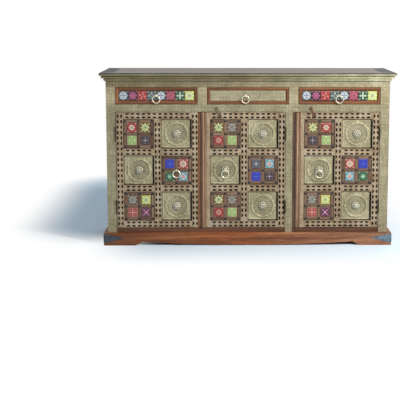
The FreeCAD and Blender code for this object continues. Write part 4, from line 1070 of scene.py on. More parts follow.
def cornice_section():
    """Outset, height and shade from the foot of the moulding to the top board."""
    base = cornice_low.z
    swing = [math.radians(turn) for turn in range(-90, 91, 30)]
    foot = [(0.0, 0.0, GROOVE), (0.0046, 0.0003, GROOVE), (0.0052, 0.0040, FOOT_SHADE)]
    lower = [(0.0070 + 0.0045 * math.cos(a), 0.0085 + 0.0042 * math.sin(a), CROWN) for a in swing]
    gap = [(0.0076, 0.0132, GROOVE), (0.0084, 0.0152, GROOVE)]
    upper = [(0.0150 + 0.0075 * math.cos(a), 0.0200 + 0.0046 * math.sin(a), CROWN) for a in swing]
    groove = [(0.0195, 0.0250, GROOVE), (0.0195, 0.0292, GROOVE)]
    lip = [(REACH, 0.0294, LIP_SHADE), (REACH, 0.0300, LIP_SHADE), (0.0, 0.0300, LIP_SHADE)]
    return [(out, base + height, shade) for out, height, shade in foot + lower + gap + upper + groove + lip]


print("cornice section corners:", len(cornice_section()))

# %% [markdown]
# A curve with a bevel would round or pinch the corners of the path. Pushing the section along three
# straight runs by hand gives clean mitres at the two square corners. A row of small pearls then fills
# the groove under the top.

# %% Cornice with its pearls
def run_round(bench, section, back):
    """Pushes a section of (outset, height, shade) along the left end, the front and the right end."""
    def path(out):
        side, front = HALF + out, FRONT - out
        return [(-side, back), (-side, front), (side, front), (side, back)]

    travel = 0.0
    for (o0, z0, dark0), (o1, z1, dark1) in zip(section, section[1:]):
        near, far = path(o0), path(o1)
        step = math.hypot(o1 - o0, z1 - z0)
        for i, hint in enumerate(((-1, 0), (0, -1), (1, 0))):
            loop = [Vector((*near[i], z0)), Vector((*near[i + 1], z0)),
                    Vector((*far[i + 1], z1)), Vector((*far[i], z1))]
            axis = 0 if i == 1 else 1
            grain = [(p[axis], travel + (step if k > 1 else 0)) for k, p in enumerate(loop)]
            out = Vector((hint[0], hint[1], 0)) * (z1 - z0) + Vector((0, 0, o0 - o1))
            bench.face(loop, grain, 0, (dark0, dark0, dark1, dark1), out)
        travel += step
    for side in (0, -1):
        bench.face([Vector((*path(o)[side], z)) for o, z, _ in section], outward=(0, 1, 0))


PEARL_STEP, PEARL_RADIUS, PEARL_LIFT = 0.0100, 0.0021, 0.0022
PEARL_OUT, PEARL_UP, PEARL_END = 0.0195, 0.0271, 0.006
cornice_bench = Bench()
run_round(cornice_bench, cornice_section(), cornice_high.y)
pearl_height, pearl_side = cornice_low.z + PEARL_UP, HALF + PEARL_OUT
for x in spaced(-pearl_side, pearl_side, PEARL_STEP):
    dome(cornice_bench, (x, FRONT - PEARL_OUT, pearl_height), (0, -1, 0), PEARL_RADIUS, PEARL_LIFT, 2, 6)
for y in spaced(FRONT, cornice_high.y - PEARL_END, PEARL_STEP):
    for sign in (-1, 1):
        spot = (sign * pearl_side, y, pearl_height)
        dome(cornice_bench, spot, (sign, 0, 0), PEARL_RADIUS, PEARL_LIFT, 2, 6)
cornice = make_piece(cornice_bench, "cornice_moulding", "carcass", [cornice_brass],
                     ["cornice"])
print("cornice faces:", len(cornice.data.polygons))

# %% [markdown]
# The sheet on posts and rails is held by little brass pins along its edges. They follow the frame's own
# boxes, so each row starts and ends on real metal.

# %% Cladding pins
PIN_RADIUS, PIN_LIFT, PIN_STEP, SHORT_STEP, PIN_INSET = 0.0021, 0.0011, 0.034, 0.023, 0.0045
POST_END, SILL_END, RAIL_END = 0.010, 0.008, 0.006
clad_low, clad_high = corners("front_cladding")
sill_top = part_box("sill_rail")[1][2]
drawer_boxes = [corners(body + "_front") for body in DRAWERS]
DRAWER_GAP, DOOR_GAP = 0.002, 0.0025
POST = 0.048


def pin_rows():
    rail_low, rail_high = DOORS[0].top + DOOR_GAP, drawer_boxes[0][0].z - DRAWER_GAP
    frieze_low = drawer_boxes[0][1].z + DRAWER_GAP
    for left in (clad_low.x, clad_high.x - POST):
        for x in (left + PIN_INSET, left + POST - PIN_INSET):
            yield from ((x, z) for z in spaced(sill_top + SILL_END, clad_high.z - POST_END, PIN_STEP))
    start, end = clad_low.x + POST + RAIL_END, clad_high.x - POST - RAIL_END
    for z in (rail_low + PIN_INSET, rail_high - PIN_INSET, frieze_low + PIN_INSET):
        yield from ((x, z) for x in spaced(start, end, PIN_STEP))
    for left, right in zip(drawer_boxes, drawer_boxes[1:]):
        for x in (left[1].x + DRAWER_GAP + PIN_INSET, right[0].x - DRAWER_GAP - PIN_INSET):
            yield from ((x, z) for z in spaced(rail_high + POST_END, frieze_low - POST_END, SHORT_STEP))


pin_bench = Bench()
for x, z in pin_rows():
    dome(pin_bench, (x, clad_low.y, z), (0, -1, 0), PIN_RADIUS, PIN_LIFT, 2, 7)
pins = make_piece(pin_bench, "cladding_pins", "carcass", [drawer_brass])
print("cladding pins, faces:", len(pins.data.polygons))

# %% [markdown]
# The doors' lattice is chip carving: two rows of three-sided pits along each strip, with their points
# to the middle line and their sides rounded by wear, so that the metal left between them reads as a
# chain of crosses. Cutting hundreds of pits with booleans would be slow and untidy. Instead one repeat
# of the pattern is written as a small set of flat faces that fit together without gaps, and that repeat
# is laid along every strip. The pits are given a nearly black shade.

# %% One repeat of the carving
PITCH, PIT_BASE, PIT_OUTER, PIT_INNER, PIT_DEPTH = 0.0285, 0.0208, 0.0138, 0.0028, 0.0042
BELLY_OUT, BELLY_UP, PIT_GAP = 0.40, 0.40, 0.0002
PIT_SHADE, MOUTH_SHADE, CREST_SHADE = 0.03, 0.06, 1.06


def plain_repeat(p, w):
    """A flat end as (corners, shades); p is half its length and w half its width."""
    return [([(-p, -w, 0), (p, -w, 0), (p, w, 0), (-p, w, 0)], [1.0] * 4)]


def pitted_repeat(p, w):
    """The same with two pits; corners are s along, t across and d into the strip."""
    faces = []
    outer = min(PIT_OUTER, w - PIT_GAP)
    left_mid, right_mid = (-p, 0, 0), (p, 0, 0)
    for hand in (-1, 1):
        a, b = (-PIT_BASE / 2, hand * outer, 0), (PIT_BASE / 2, hand * outer, 0)
        c = (0, hand * PIT_INNER, 0)
        deep = (0, hand * (2 * outer + PIT_INNER) / 3, PIT_DEPTH)
        belly = hand * (PIT_INNER + (outer - PIT_INNER) * BELLY_UP)
        d, e = (-PIT_BASE * BELLY_OUT, belly, 0), (PIT_BASE * BELLY_OUT, belly, 0)
        left, right = (-p, hand * w, 0), (p, hand * w, 0)
        for flat in ((left, a, b, right), (left, left_mid, c, d), (left, d, a),
                     (right, e, c, right_mid), (right, b, e)):
            faces.append((flat, [1.0] * len(flat)))
        for near, far in ((a, b), (b, e), (e, c), (c, d), (d, a)):
            faces.append(([near, far, deep], [MOUTH_SHADE, MOUTH_SHADE, PIT_SHADE]))
    low, high = (0, -PIT_INNER, 0), (0, PIT_INNER, 0)
    faces.append(([left_mid, low, right_mid, high], [CREST_SHADE] * 4))
    return faces


print("pits per metre of strip:", round(2 / PITCH))

# %% [markdown]
# A strip is as many repeats as fit, a plain end at both sides of them, and a thin dark line cut along
# each edge. Every strip and every repeat is a little lighter or darker than the next, because they were
# cut by hand and are rubbed unevenly.

# %% One carved strip
STRIP_MARGIN, STRIP_EDGE, LINE_INSET, LINE_WIDE = 0.006, 0.0008, 0.0009, 0.0006
# WALL_SHADE is painted shade on the side walls of the strips, which stand in the shadow of the recesses.
LINE_SHADE, EDGE_SHADE, WALL_SHADE, END_SHADE = 0.45, 1.3, 0.12, 0.8
STRIP_VARIETY, REPEAT_VARIETY = (0.90, 1.08), (0.93, 1.07)


def carved_strip(bench, x, z, width, height, carved=True):
    upright = height > width
    length, across = (height, width) if upright else (width, height)
    centre = (x + width / 2, z + height / 2)
    tone = chance.uniform(*STRIP_VARIETY)
    shift = grain_start()

    def lay(s, t, d):
        u, v = (t, s) if upright else (s, t)
        return Vector((centre[0] + u, FRONT + d, centre[1] + v))

    def add(spots, shades, outward=(0, -1, 0)):
        grain = [(s + shift, t) for s, t, _ in spots]
        bench.face([lay(*spot) for spot in spots], grain, 0, [tone * v for v in shades], outward)

    half = across / 2
    inner = half - STRIP_EDGE - LINE_INSET - LINE_WIDE
    count = int((length - 2 * STRIP_MARGIN) // PITCH) if carved else 0
    rest = (length - count * PITCH) / 2
    for i in range(count):
        middle = (i - (count - 1) / 2) * PITCH
        vary = chance.uniform(*REPEAT_VARIETY)
        for spots, shades in pitted_repeat(PITCH / 2, inner):
            add([(s + middle, t, d) for s, t, d in spots], [v * vary for v in shades])
    for sign in (-1, 1):
        middle = sign * (length - rest) / 2 if count else 0
        for spots, shades in plain_repeat(rest / 2 if count else length / 2, inner):
            add([(s + middle, t, d) for s, t, d in spots], shades)
        bands = [(inner, 0, LINE_SHADE), (inner + LINE_WIDE, 0, 1.0), (half - STRIP_EDGE, 0, EDGE_SHADE),
                 (half, STRIP_EDGE, WALL_SHADE), (half, STRIP_THICK, WALL_SHADE)]
        for (t0, d0, shade), (t1, d1, _) in zip(bands, bands[1:]):
            loop = [(-length / 2, sign * t0, d0), (length / 2, sign * t0, d0),
                    (length / 2, sign * t1, d1), (-length / 2, sign * t1, d1)]
            out = lay(0, sign, 0) - lay(0, 0, 0) if t0 == t1 else Vector((0, -1, 0))
            add(loop, [shade] * 4, out)
        end = sign * length / 2
        loop = [(end, -half, STRIP_EDGE), (end, half, STRIP_EDGE),
                (end, half, STRIP_THICK), (end, -half, STRIP_THICK)]
        add(loop, [END_SHADE] * 4, lay(sign, 0, 0) - lay(0, 0, 0))


print("carved strips stand", STRIP_THICK * 1000, "mm proud of the door boards")

# %% [markdown]
# The strips cover the frame of each door. The hinge side, the top and bottom, the middle line and the
# short rails are carved. Beside the ribbed edge only a narrow plain strip is left. All strips of a door
# are one piece with flat shading, so that the pits stay crisp.

# %% Lattice of the doors
ASTRAGAL = 0.028
STRIP_TONES = (paint(104, 82, 60), paint(176, 152, 122), paint(222, 206, 182))
strip_brass = brass_finish("carved_strip_brass", STRIP_TONES, punch=240.0, dent=90.0, metal=0.15,
                           polish=0.12, grime=0.35, shaded=True)


def lattice(door):
    bench = Bench()
    tall = door.top - door.bottom
    step = door.panel[1] + STRIP
    hinge_x = door.left if door.hand < 0 else door.right - STRIP
    rail_width = 2 * door.panel[0] + STRIP
    carved_strip(bench, hinge_x, door.bottom, STRIP, tall)
    for i in (0, ROWS):
        carved_strip(bench, door.columns[0], door.bottom + i * step, rail_width, STRIP)
    carved_strip(bench, door.columns[0] + door.panel[0], door.rows[0], STRIP, tall - 2 * STRIP)
    for i in range(1, ROWS):
        for x in door.columns:
            carved_strip(bench, x, door.bottom + i * step, door.panel[0], STRIP)
    if door.hand < 0:
        carved_strip(bench, door.right - FREE_SIDE, door.bottom, FREE_SIDE - LIP, tall)
    else:
        carved_strip(bench, door.left + ASTRAGAL, door.bottom, FREE_SIDE - ASTRAGAL, tall, carved=False)
    name, node = door.body + "_carving", door.body + "_lattice"
    return make_piece(bench, name, door.body, [strip_brass], [node], smooth=False)


lattices = [lattice(door) for door in DOORS]
print("lattice faces:", [len(piece.data.polygons) for piece in lattices])

# %% [markdown]
# Nine panels of thin brass are embossed with a round medallion: a scalloped ring, a low wreath of leaves
# inside it and a domed boss covered with pearls. Sheet that is beaten from behind is one unbroken
# surface, so the panel is one skin whose height is a formula of the place on it. The same formula gives
# each place a shade: raised places lighter, partly rubbed and partly a painted highlight, and deep places
# darker, partly patina and partly painted shade. A few small rules make the parts: a round ridge, a leaf,
# a row of pearls.

# %% Rules for raised shapes
# DIRT_AND_SHADE and BRIGHT are the darkest and lightest shades: patina and wear with painted shade and
# highlight.
DIRT_AND_SHADE, BRIGHT = 0.20, 1.34
FAN_INSET, FAN_REACH, FAN_RIBS = 0.009, 0.036, 5


def hump(value, middle, half):
    """A round ridge: 1 on the middle line and 0 beyond half to either side."""
    off = (value - middle) / half
    return math.sqrt(max(0.0, 1.0 - off * off))


def leaf(r, turn, count, start, end):
    """A pointed leaf in a wreath of count leaves, with a crease along its middle."""
    if not start < r < end:
        return 0.0
    along = (r - start) / (end - start)
    off = abs((turn * count / (2 * math.pi)) % 1.0 - 0.5) * 2
    half = math.sin(math.pi * min(1.0, along * 0.92 + 0.06)) ** 0.7
    body = max(0.0, 1.0 - (off / max(half, 0.05)) ** 2)
    return body * (0.70 + 0.30 * min(1.0, off * 3))


def pearls(r, turn, count, middle, half):
    """A ring of count pearls on the circle called middle."""
    return hump(r, middle, half) * abs(math.cos(turn * count / 2)) ** 1.2


def relief_shade(bright, darkest=DIRT_AND_SHADE):
    """Shade of a place from how bright it is, 0 to 1: wear and patina with painted highlight and shade."""
    return darkest + (BRIGHT - darkest) * bright ** 0.8


def fan(x, z, wide, tall):
    """A spray of ribs that opens from the nearest corner of the panel."""
    cx, cz = wide / 2 - FAN_INSET - abs(x), tall / 2 - FAN_INSET - abs(z)
    along = min(1.0, math.hypot(cx, cz) / FAN_REACH)
    return abs(math.cos(math.atan2(cz, cx) * FAN_RIBS)) * math.sin(math.pi * along) ** 0.6


print("a pearl in the middle of its ring rises to", pearls(0.01, 0.0, 6, 0.01, 0.004))

# %% [markdown]
# Every place on the panel asks all the rules and takes the highest answer. Each rule brings its full
# lift and how bright it is. A painted shadow darkens the right side of the panel, where the strip throws
# its shadow, and narrower dark lines run along the bottom and the top.

# %% The height of the embossing
# BOSS_DIRT_AND_SHADE darkens the hollows between the pearls: dirt with painted shade.
FIELD, BOSS, BOSS_LIFT, BOSS_FLAT, BOSS_DIRT_AND_SHADE = 0.066, 0.0240, 0.0118, 0.0040, 0.05
RIM, RIM_HALF, LOBES, LEAVES, SKIN = 0.0065, 0.0030, 16, 16, 0.0004
PEARL_RINGS = ((0.0, 6, 0.0096), (0.2, 11, 0.0186))
MIDDLE_PEARL, PEARL_HALF, PEARL_RISE = 0.0042, 0.0044, 0.0018
FIELD_GROUND, OUTER_GROUND = 0.42, 0.64
# RIGHT_PAINTED_SHADOW is the strip's shadow painted on the panel's right side; the other two darken the
# bottom and top edges.
RIGHT_PAINTED_SHADOW, LOWER_DARK_EDGE, UPPER_DARK_EDGE = (0.0080, 0.03), (0.0042, 0.26), (0.0022, 0.30)


def boss(r, turn):
    rise = max(0.0, r - BOSS_FLAT) / (BOSS - BOSS_FLAT)
    rings = [pearls(r, turn + lean, count, middle, PEARL_HALF) for lean, count, middle in PEARL_RINGS]
    bead = max(hump(r, 0.0, MIDDLE_PEARL), *rings)
    return BOSS_LIFT * (1 - rise ** 2.0) + bead * PEARL_RISE, relief_shade(bead, BOSS_DIRT_AND_SHADE)


def embossing(x, z, wide, tall):
    """Height over the sheet and the shade of the place."""
    r, turn = math.hypot(x, z), math.atan2(z, x)
    if r < BOSS:
        return boss(r, turn)
    edge = min(wide / 2 - abs(x), tall / 2 - abs(z))
    lobe = abs(math.cos(turn * LOBES / 2))
    parts = [(leaf(r, turn, LEAVES, 0.0250, 0.0400), 0.0014, 0.66),
             (leaf(r, turn + math.pi / LEAVES, LEAVES, 0.0370, 0.0520), 0.0014, 0.68),
             (hump(r, 0.0550 + 0.0036 * lobe, 0.0064), 0.0040, 0.7 + 0.3 * lobe),
             (pearls(r, turn, 48, 0.0662, 0.0014), 0.0010, 0.6),
             (hump(edge, RIM, RIM_HALF), 0.0022, 1.0)]
    if r > FIELD + 0.002 and edge > RIM + 0.0025:
        parts.append((fan(x, z, wide, tall), 0.0016, 0.85))
    shape, lift, bright = max(parts, key=lambda part: part[0] * part[1])
    ground = FIELD_GROUND if r < FIELD - 0.010 else OUTER_GROUND
    shades = [relief_shade(max(ground, shape * bright))]
    sides = ((wide / 2 - x, RIGHT_PAINTED_SHADOW), (tall / 2 + z, LOWER_DARK_EDGE), (tall / 2 - z, UPPER_DARK_EDGE))
    shades += [darkest for gap, (reach, darkest) in sides if gap < reach]
    return SKIN + shape * lift, min(shades)


print("boss height in mm:", round(embossing(0, 0, 0.16, 0.156)[0] * 1000, 1))

# %% [markdown]
# The corners of the skin lie on circles round the boss and slowly turn square towards the edge of the
# panel. That puts detail where the pattern is round and still gives straight sides that fit the opening.

# %% Corners of the skin
TURNS, BOSS_RINGS, FIELD_RINGS, OUTER_RINGS, ROUND = 144, 24, 26, 14, 0.0695


def panel_turns(wide, tall):
    """Evenly spaced turns, with the nearest ones moved onto the panel's corners."""
    turns = [2 * math.pi * i / TURNS for i in range(TURNS)]
    for sx, sz in ((1, 1), (-1, 1), (-1, -1), (1, -1)):
        corner = math.atan2(sz * tall, sx * wide) % (2 * math.pi)
        turns[round(corner / (2 * math.pi) * TURNS) % TURNS] = corner
    return turns


def panel_rings(wide, tall, turn):
    """How far out the corners lie along one turn, from the boss to the panel's edge."""
    c, s = abs(math.cos(turn)), abs(math.sin(turn))
    limit = min(wide / 2 / max(c, 1e-6), tall / 2 / max(s, 1e-6))
    stages = ((0.0, BOSS, BOSS_RINGS), (BOSS, ROUND, FIELD_RINGS), (ROUND, limit, OUTER_RINGS))
    return [start + (end - start) * (k + 1) / count
            for start, end, count in stages for k in range(count)]


print("faces per panel:", TURNS * (BOSS_RINGS + FIELD_RINGS + OUTER_RINGS))

# %% [markdown]
# The skin is stretched over these corners in rings of four-sided faces, closed by small triangles in the
# middle. A flat grid that is pushed up by a displacement would be quicker to set up, but it cuts round
# ridges into steps. Faces on the boss get a finish of their own.

# %% Skin of one panel
def embossed_panel(bench, centre, wide, tall, face, tilt):
    turns = panel_turns(wide, tall)
    spots = []
    for turn in turns:
        row = []
        for r in panel_rings(wide, tall, turn):
            x, z = r * math.cos(turn), r * math.sin(turn)
            row.append((x, z, *embossing(x, z, wide, tall)))
        spots.append(row)
    middle = (0.0, 0.0, *embossing(0, 0, wide, tall))

    def add(loop, finish=0):
        points = [Vector((centre[0] + x, face - lift, centre[1] + z)) for x, z, lift, _ in loop]
        grain = [(centre[0] + x + tilt, centre[1] + z) for x, z, _, _ in loop]
        bench.face(points, grain, finish, [shade for *_, shade in loop], (0, -1, 0))

    for i in range(TURNS):
        here, there = spots[i], spots[(i + 1) % TURNS]
        add([middle, here[0], there[0]], 1)
        for k in range(len(here) - 1):
            on_boss = math.hypot(*here[k + 1][:2]) < BOSS
            add([here[k], here[k + 1], there[k + 1], there[k]], 1 if on_boss else 0)


print("faces in each ring of the skin:", TURNS)

# %% [markdown]
# Each door has three medallions, in the openings between the tiled ones. The bosses take a brighter
# brass than the sheet round them, partly because they are handled and dusted most and partly as a
# painted highlight. A little play is left at the sides of the opening, as for real sheet.

# %% Medallions of the doors
PANEL_TONES = (paint(114, 104, 79), paint(165, 154, 121), paint(216, 205, 170))
# BOSS_TONES are lighter than the panel: rubbed brass and a painted highlight.
BOSS_TONES = (paint(140, 132, 106), paint(206, 197, 168), paint(242, 235, 212))
panel_brass = brass_finish("embossed_brass", PANEL_TONES, punch=230.0, dent=110.0, metal=0.18, gloss=0.36,
                           polish=0.25, grime=0.4, shaded=True)
boss_brass = brass_finish("boss_brass_with_painted_highlight", BOSS_TONES, punch=400.0, dent=24.0, metal=0.2, gloss=0.26,
                          polish=1.0, grime=0.2, shaded=True)
PANEL_PLAY = 0.0012


def medallions(door):
    bench = Bench()
    wide, tall = door.panel
    for x, z, tiled in door.panels():
        if not tiled:
            centre = (x + wide / 2, z + tall / 2)
            sides = (wide - 2 * PANEL_PLAY, tall - 2 * PANEL_PLAY)
            embossed_panel(bench, centre, *sides, FRONT + BRASS_SHEET, grain_start())
    name, node = door.body + "_medallions", door.body + "_brass_panels"
    return make_piece(bench, name, door.body, [panel_brass, boss_brass], [node])


print("medallion faces:", [len(medallions(door).data.polygons) for door in DOORS])

# %% [markdown]
# The tiles are glazed earthenware with old, common patterns: eight-petalled flowers, stars, four-part
# squares, crosses and rosettes. Painting pictures is not needed, because each pattern is a simple rule
# about how far a place is from the middle and at which angle. A brush shakes a little, so the place is
# nudged by noise before the rules are asked, and each layer of paint covers the one before.

# %% Words for tile painting
BRUSH_SHAKE = 0.05
BRUSH_EDGE = 0.018


class Glaze(Toned):
    """A glazed tile. x and y run from -0.5 to 0.5 over it, and r and turn are the same place round the
    middle; far_x, far_y and out are how far it lies from the two middle lines and from both."""

    def __init__(self, name, ground, deep):
        super().__init__(name, Specular_IOR_Level=0.55, Coat_Weight=0.35, Coat_Roughness=0.08)
        place = self.place("UV")
        shake = self.node("TexNoise", {"Vector": place, "Scale": 7.0, "Detail": 2.0}).outputs["Color"]
        shake = self.node("VectorMath", {0: shake, 1: (0.5, 0.5, 0.5)}, operation="SUBTRACT").outputs[0]
        nudge = self.node("VectorMath", {0: shake, "Scale": BRUSH_SHAKE}, operation="SCALE").outputs[0]
        moved = self.node("VectorMath", {0: place, 1: nudge}, operation="ADD").outputs[0]
        parts = self.parts(moved)
        self.x, self.y = (self.sum("SUBTRACT", parts[i], 0.5) for i in (0, 1))
        self.far_x, self.far_y = (self.sum("ABSOLUTE", value) for value in (self.x, self.y))
        self.turn = self.sum("ARCTAN2", self.y, self.x)
        self.r = self.length(self.x, self.y)
        self.out = self.sum("MAXIMUM", self.far_x, self.far_y)
        pool = self.noise(place, 9.0, 4.0, 0.6)
        self.colour = self.blend(self.range(pool, 0.35, 0.70), ground, deep)
        self.flaw = self.noise(self.place(), 900.0, 3.0, 0.7)

    def length(self, a, b):
        squares = self.sum("ADD", self.sum("MULTIPLY", a, a), self.sum("MULTIPLY", b, b))
        return self.sum("SQRT", squares)

    def below(self, value, edge, soft=BRUSH_EDGE):
        """1 where the value is smaller than the edge, with the soft edge of a brush."""
        gap = self.sum("SUBTRACT", value, edge)
        return self.range(gap, -soft, soft, 1.0, 0.0)

    def both(self, *masks):
        joined = masks[0]
        for mask in masks[1:]:
            joined = self.sum("MULTIPLY", joined, mask)
        return joined

    def lay(self, mask, colour):
        self.colour = self.blend(mask, self.colour, colour)


print("glaze words ready")

# %% [markdown]
# All patterns use the same few shapes. Each is a mask: 1 where the brush paints and 0 elsewhere. Petals,
# for example, are a circle whose radius swings with the angle. At the end the tile is fired: specks in
# the glaze, grime along the edges and a thin coat of old varnish over all.

# %% Shapes that the patterns share
OLD_VARNISH = (0.75, 0.72, 0.67, 1.0)
SPECK, SPECK_SHARE = paint(60, 50, 46), 0.35
GRIME, GRIME_SHARE, GRIME_FROM, GRIME_EDGE = paint(58, 44, 36), 0.45, 0.47, 0.03


class Pattern(Glaze):
    """Shapes as masks: 1 where the brush paints."""

    def petals(self, count, reach, depth, lean=0.0):
        wave = self.sum("COSINE", self.sum("MULTIPLY_ADD", self.turn, float(count), lean))
        return self.below(self.r, self.sum("MULTIPLY_ADD", wave, depth, reach))

    def disc(self, radius):
        return self.below(self.r, radius)

    def ring(self, radius, half):
        return self.below(self.sum("ABSOLUTE", self.sum("SUBTRACT", self.r, radius)), half)

    def diamond(self, reach):
        return self.below(self.sum("ADD", self.far_x, self.far_y), reach)

    def border(self, wide):
        return self.sum("SUBTRACT", 1.0, self.below(self.out, 0.5 - wide))

    def cross(self, half):
        return self.below(self.sum("MINIMUM", self.far_x, self.far_y), half)

    def saltire(self, half):
        return self.below(self.sum("ABSOLUTE", self.sum("SUBTRACT", self.far_x, self.far_y)), half)

    def corners(self, radius):
        a, b = (self.sum("SUBTRACT", 0.5, value) for value in (self.far_x, self.far_y))
        return self.below(self.length(a, b), radius)

    def quarters(self, radius):
        a, b = (self.sum("SUBTRACT", value, 0.25) for value in (self.far_x, self.far_y))
        return self.below(self.length(a, b), radius)

    def fired(self):
        """Adds specks, grime along the edges and old varnish, and gives back the material."""
        speck = self.range(self.flaw, 0.66, 0.74, 0.0, SPECK_SHARE)
        grime = self.sum("SUBTRACT", 1.0, self.below(self.out, GRIME_FROM, GRIME_EDGE))
        colour = self.blend(speck, self.colour, SPECK)
        colour = self.blend(self.sum("MULTIPLY", grime, GRIME_SHARE), colour, GRIME)
        colour = self.times(colour, OLD_VARNISH)
        self.set(Base_Color=colour, Roughness=self.range(self.flaw, 0.3, 0.7, 0.14, 0.34))
        self.relief((self.flaw, 0.00015))
        return self.material


print("pattern shapes ready")

# %% [markdown]
# A pattern is a short list of layers, painted one over the other: corners first, then the large shape,
# then smaller ones inside it, as a painter would work. Sizes are shares of the tile's side. Two shades of
# the ground colour make the glaze look pooled.

# %% Flowers and stars
def flower(name, ground, deep, petal, heart, ring=None, reach=0.28):
    """An eight-petalled flower round a ring and a heart."""
    tile = Pattern(name, ground, deep)
    tile.lay(tile.corners(0.14), petal)
    tile.lay(tile.corners(0.08), ground)
    tile.lay(tile.petals(8, reach, reach * 0.22), petal)
    tile.lay(tile.petals(8, reach * 0.62, reach * 0.14, math.pi), ring or deep)
    tile.lay(tile.disc(reach * 0.46), petal)
    tile.lay(tile.disc(reach * 0.28), heart)
    return tile.fired()


def star(name, ground, deep, ray, heart, reach=0.24, lean=0.0):
    """A four-pointed star; with a lean of pi its points look to the corners."""
    tile = Pattern(name, ground, deep)
    tile.lay(tile.both(tile.saltire(0.035), tile.corners(0.30)), ray)
    tile.lay(tile.petals(4, reach, reach * 0.6, lean), ray)
    tile.lay(tile.petals(4, reach * 0.7, reach * 0.4, lean + math.pi), deep)
    tile.lay(tile.petals(8, reach * 0.5, reach * 0.15), ray)
    tile.lay(tile.disc(reach * 0.3), heart)
    return tile.fired()


print("patterns:", flower.__name__, star.__name__)

# %% [markdown]
# Some tiles are built of straight lines and rings instead of petals: four small squares, or a pale
# diamond with a small flower in it. They are painted in the same way, from the ground up.

# %% Squares and lozenges
def four_square(name, ground, deep, pale, dot):
    """Four squares with rings in them and pale lines between."""
    tile = Pattern(name, ground, deep)
    tile.lay(tile.quarters(0.10), deep)
    tile.lay(tile.quarters(0.05), pale)
    tile.lay(tile.cross(0.035), pale)
    tile.lay(tile.border(0.040), pale)
    tile.lay(tile.diamond(0.09), dot)
    return tile.fired()


def lozenge(name, ground, deep, pale, heart):
    """A pale diamond flower with a red heart."""
    tile = Pattern(name, ground, deep)
    tile.lay(tile.corners(0.15), pale)
    tile.lay(tile.corners(0.10), deep)
    tile.lay(tile.ring(0.36, 0.02), pale)
    tile.lay(tile.diamond(0.30), pale)
    tile.lay(tile.petals(4, 0.15, 0.05), heart)
    tile.lay(tile.disc(0.05), pale)
    return tile.fired()


print("patterns:", four_square.__name__, lozenge.__name__)

# %% [markdown]
# A trellis is two crosses, one upright and one leaning, with a diamond where they meet. The rosettes of
# the drawers are a pale lobed disc with a blue cross of petals. Both could be drawn as curves and filled,
# but masks keep the soft edge of the brush.

# %% Trellises and rosettes
def trellis(name, ground, deep, pale, heart):
    """Crossing lines with a diamond where they meet."""
    tile = Pattern(name, ground, deep)
    tile.lay(tile.saltire(0.040), pale)
    tile.lay(tile.cross(0.030), pale)
    tile.lay(tile.ring(0.34, 0.025), pale)
    tile.lay(tile.diamond(0.20), pale)
    tile.lay(tile.diamond(0.13), heart)
    return tile.fired()


def rosette(name, ground, deep, pale, blue, heart):
    """A pale lobed disc with a blue cross of petals in it."""
    tile = Pattern(name, ground, deep)
    tile.lay(tile.petals(8, 0.42, 0.03), pale)
    tile.lay(tile.ring(0.33, 0.018), blue)
    tile.lay(tile.petals(4, 0.17, 0.12), blue)
    tile.lay(tile.petals(4, 0.11, 0.07, math.pi), pale)
    tile.lay(tile.disc(0.055), heart)
    return tile.fired()


print("patterns:", trellis.__name__, rosette.__name__)

# %% [markdown]
# Twenty-one glazes are enough for all fifty-two tiles. Each row of the table names a glaze, its pattern,
# its own sizes and its colours in the order that the pattern asks for, from the ground to the heart.

